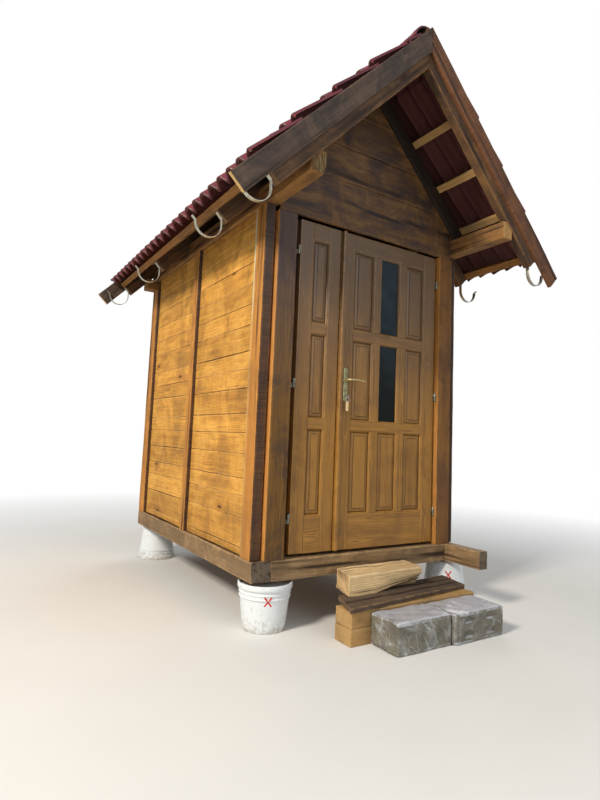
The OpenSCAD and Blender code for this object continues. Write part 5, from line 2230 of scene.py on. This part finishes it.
    def blocks(self, rng: Rng) -> Mesh:
        """Two wrapped blocks; the right one has four hollows in its front.

        Args:
            rng: seeded source of unevenness and grain.

        Returns:
            The mesh.
        """
        mesh = Mesh()
        wide, high, deep = self.dent_size

        def dents(p: Array) -> Array:
            """Presses flat oval hollows into the front.

            Args:
                p: places on the board (x, w, t).

            Returns:
                The moved places.
            """
            q = p.copy()
            for x, z in self.dent_spots:
                bell = np.exp(-((p[..., 0] - x) / wide) ** 4 - ((p[..., 2] - z) / high) ** 4)
                q[..., 1] += deep * bell * (p[..., 1] < -100.0)
            return q

        cut = Cut(edge=13.0, uneven=2.2, wave=60.0, step=11.0, fine=8.0, ragged=2.5, fresh=(0.0, 0.0))
        for (x, y, length, depth), warp in zip(self.block_spots, (None, dents)):
            box_board(mesh, (x, y, 0.0), (x + length, y + depth, self.block_h), Axis.X, Axis.Y, rng,
                      replace(cut, warp=warp))
        return mesh

    def build(self, shop: Workshop) -> None:
        """Makes the split timber with its fibres, the plank, the beams and the blocks.

        Args:
            shop: workshop that makes the pieces.
        """
        rng = np.random.default_rng(self.seed)
        shop.piece(self.timber(rng), "split_timber", Finishes.PALE, ["step_timber"])
        shop.piece(self.fibres(np.random.default_rng(self.seed + 1)), "split_timber_fibres", Finishes.TORN,
                   ["step_timber"])
        shop.piece(self.plank(rng), "old_step_plank", Finishes.PLANK, ["step_plank"])
        shop.piece(self.beams(rng), "step_beam_pair", Finishes.RAW, ["step_beams"])
        shop.piece(self.blocks(rng), "wrapped_block_pair", Finishes.BLOCK, ["step_blocks"])


# ---------------------------------------------------------------- scene


def stand(name: str, data: bpy.types.ID, place: Sequence[float], right: Array, ahead: Array) -> bpy.types.Object:
    """Puts a camera or lamp into the scene.

    Args:
        name: its name.
        data: its Blender data.
        place: where it stands, in metres.
        right: unit direction to its right.
        ahead: unit direction that it looks along.

    Returns:
        The object.
    """
    matrix = np.eye(4)
    matrix[:3] = np.stack([right, np.cross(right, ahead), -ahead, place], 1)
    made = bpy.data.objects.new(name, data)
    made.matrix_world = Matrix(matrix.tolist())
    bpy.context.scene.collection.objects.link(made)
    return made


@dataclass(frozen=True)
class Viewpoint:
    """The photograph's camera, solved from the building."""

    place: Triple = (-2.2154, -3.5181, 1.0784)
    yaw: float = 0.5676
    pitch: float = 0.0975
    roll: float = 0.0401
    focal_px: float = 537.39
    centre_px: Pair = (304.67, 386.52)
    frame_px: tuple[int, int] = (600, 800)

    def make(self) -> None:
        """Creates the camera and makes it the scene's own."""
        data = bpy.data.cameras.new("viewpoint")
        data.sensor_fit = "AUTO"
        data.sensor_width = 36.0
        wide, high = self.frame_px
        data.lens = self.focal_px * data.sensor_width / max(wide, high)
        data.shift_x = (wide / 2.0 - self.centre_px[0]) / max(wide, high)
        data.shift_y = (self.centre_px[1] - high / 2.0) / max(wide, high)
        data.clip_end = 200.0
        ahead = np.array([math.sin(self.yaw) * math.cos(self.pitch), math.cos(self.yaw) * math.cos(self.pitch),
                          math.sin(self.pitch)])
        right = np.array([math.cos(self.yaw), -math.sin(self.yaw), 0.0])
        right = right * math.cos(self.roll) + np.cross(right, ahead) * math.sin(self.roll)
        bpy.context.scene.camera = stand("viewpoint", data, self.place, right, ahead)


@dataclass(frozen=True)
class Studio:
    """Pale floor, white surroundings and soft lamps."""

    pale: tuple[Rgb, Rgb] = (rgb(226, 224, 220), rgb(220, 218, 214))
    fade: Pair = (2.2, 6.5)
    half: float = 40.0
    air: Rgb = (0.86, 0.93, 1.0)
    air_strength: float = 0.42

    def lamp(self, name: str, place: Sequence[float], aim: Sequence[float], size: float, power: float,
             colour: Rgb) -> None:
        """A square lamp that looks at a point.

        Args:
            name: its name.
            place: where it stands, in metres.
            aim: the point, in metres.
            size: length of its sides, in metres.
            power: its power in watts.
            colour: its colour.
        """
        data = bpy.data.lights.new(name, "AREA")
        data.shape, data.size, data.energy, data.color = "SQUARE", size, power, colour
        ahead = unit(np.subtract(aim, place))
        stand(name, data, place, unit(np.cross(ahead, UNITS[2])), ahead)

    def floor(self) -> None:
        """A pale floor that fades to white in the distance, for the camera alone."""
        g = Graph("pale_floor")
        place = g.place()
        surface = g.node("ShaderNodeBsdfPrincipled", {
            "Base Color": g.mix(g.ramp(g.noise(place, 0.8, 4.0), 0.3, 0.7), *self.pale), "Roughness": 0.9,
            "Specular IOR Level": 0.1})
        white = g.node("ShaderNodeEmission", {"Color": WHITE, "Strength": 1.0})
        reach = g.node("ShaderNodeVectorMath", {0: place}, operation="LENGTH").outputs["Value"]
        seen = g.node("ShaderNodeLightPath", {}).outputs["Is Camera Ray"]
        both = g.node("ShaderNodeMixShader", {0: g.times(g.ramp(reach, *self.fade), seen), 1: surface.outputs[0],
                                              2: white.outputs[0]})
        g.node("ShaderNodeOutputMaterial", {"Surface": both.outputs[0]})
        mesh = bpy.data.meshes.new("floor_plane")
        corners = ((-1, -1), (1, -1), (1, 1), (-1, 1))
        mesh.from_pydata([(self.half * x, self.half * y, 0.0) for x, y in corners], [], [(0, 1, 2, 3)])
        mesh.materials.append(g.owner)
        made = bpy.data.objects.new("floor_plane", mesh)
        bpy.context.scene.collection.objects.link(made)

    def surroundings(self) -> None:
        """Cool air that lights the scene and looks white to the camera and through glass."""
        g = Graph("studio_air", world=True)
        path = g.node("ShaderNodeLightPath", {})
        seen = g.math("MAXIMUM", path.outputs["Is Camera Ray"], path.outputs["Is Transmission Ray"])
        air = g.node("ShaderNodeBackground", {"Color": self.air, "Strength": self.air_strength})
        white = g.node("ShaderNodeBackground", {"Color": WHITE, "Strength": 1.0})
        both = g.node("ShaderNodeMixShader", {0: seen, 1: air.outputs[0], 2: white.outputs[0]})
        g.node("ShaderNodeOutputWorld", {"Surface": both.outputs[0]})
        bpy.context.scene.world = g.owner

    def build(self) -> None:
        """Makes floor, surroundings and lamps."""
        self.floor()
        self.surroundings()
        self.lamp("key_lamp", (-6.8, -2.7, 5.6), (0.0, 0.0, 1.3), 1.4, 680.0, (1.0, 0.93, 0.82))
        self.lamp("fill_lamp", (0.5, -8.0, 4.0), (0.0, 0.0, 1.4), 5.0, 125.0, (0.95, 0.97, 1.0))
        self.lamp("back_lamp", (6.0, 6.0, 5.0), (0.0, 0.0, 1.5), 4.0, 230.0, (1.0, 0.98, 0.95))


def main() -> None:
    """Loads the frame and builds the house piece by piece."""
    logging.basicConfig(level=logging.INFO, format="%(name)s %(message)s")
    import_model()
    bpy.context.scene.view_settings.view_transform = "Standard"
    Viewpoint().make()
    Studio().build()
    shop = Workshop(Finishes())
    for group in (Footings(), Base(), Frame(), Walls(), Gables(), RoofTimbers(), Tiles(), GutterHooks()):
        group.build(shop)
    left = Leaf(x0=-554.0, x1=-250.0, stiles=(96.0, 87.0), columns=((96.0, 217.0),), body="leaf_left",
                word="left", seed=82)
    right = Leaf(x0=-242.0, x1=597.0, stiles=(108.0, 108.0),
                 columns=((108.0, 277.0), (335.0, 504.0), (562.0, 731.0)), body="leaf_right", word="right",
                 glass=((1, 1), (2, 1)), cover=(26.0, 22.0), seed=83)
    for group in (left, right, Hinges(), Lock(), Steps()):
        group.build(shop)
    LOG.info("%d pieces", shop.pieces)


if __name__ == "__main__":
    main()
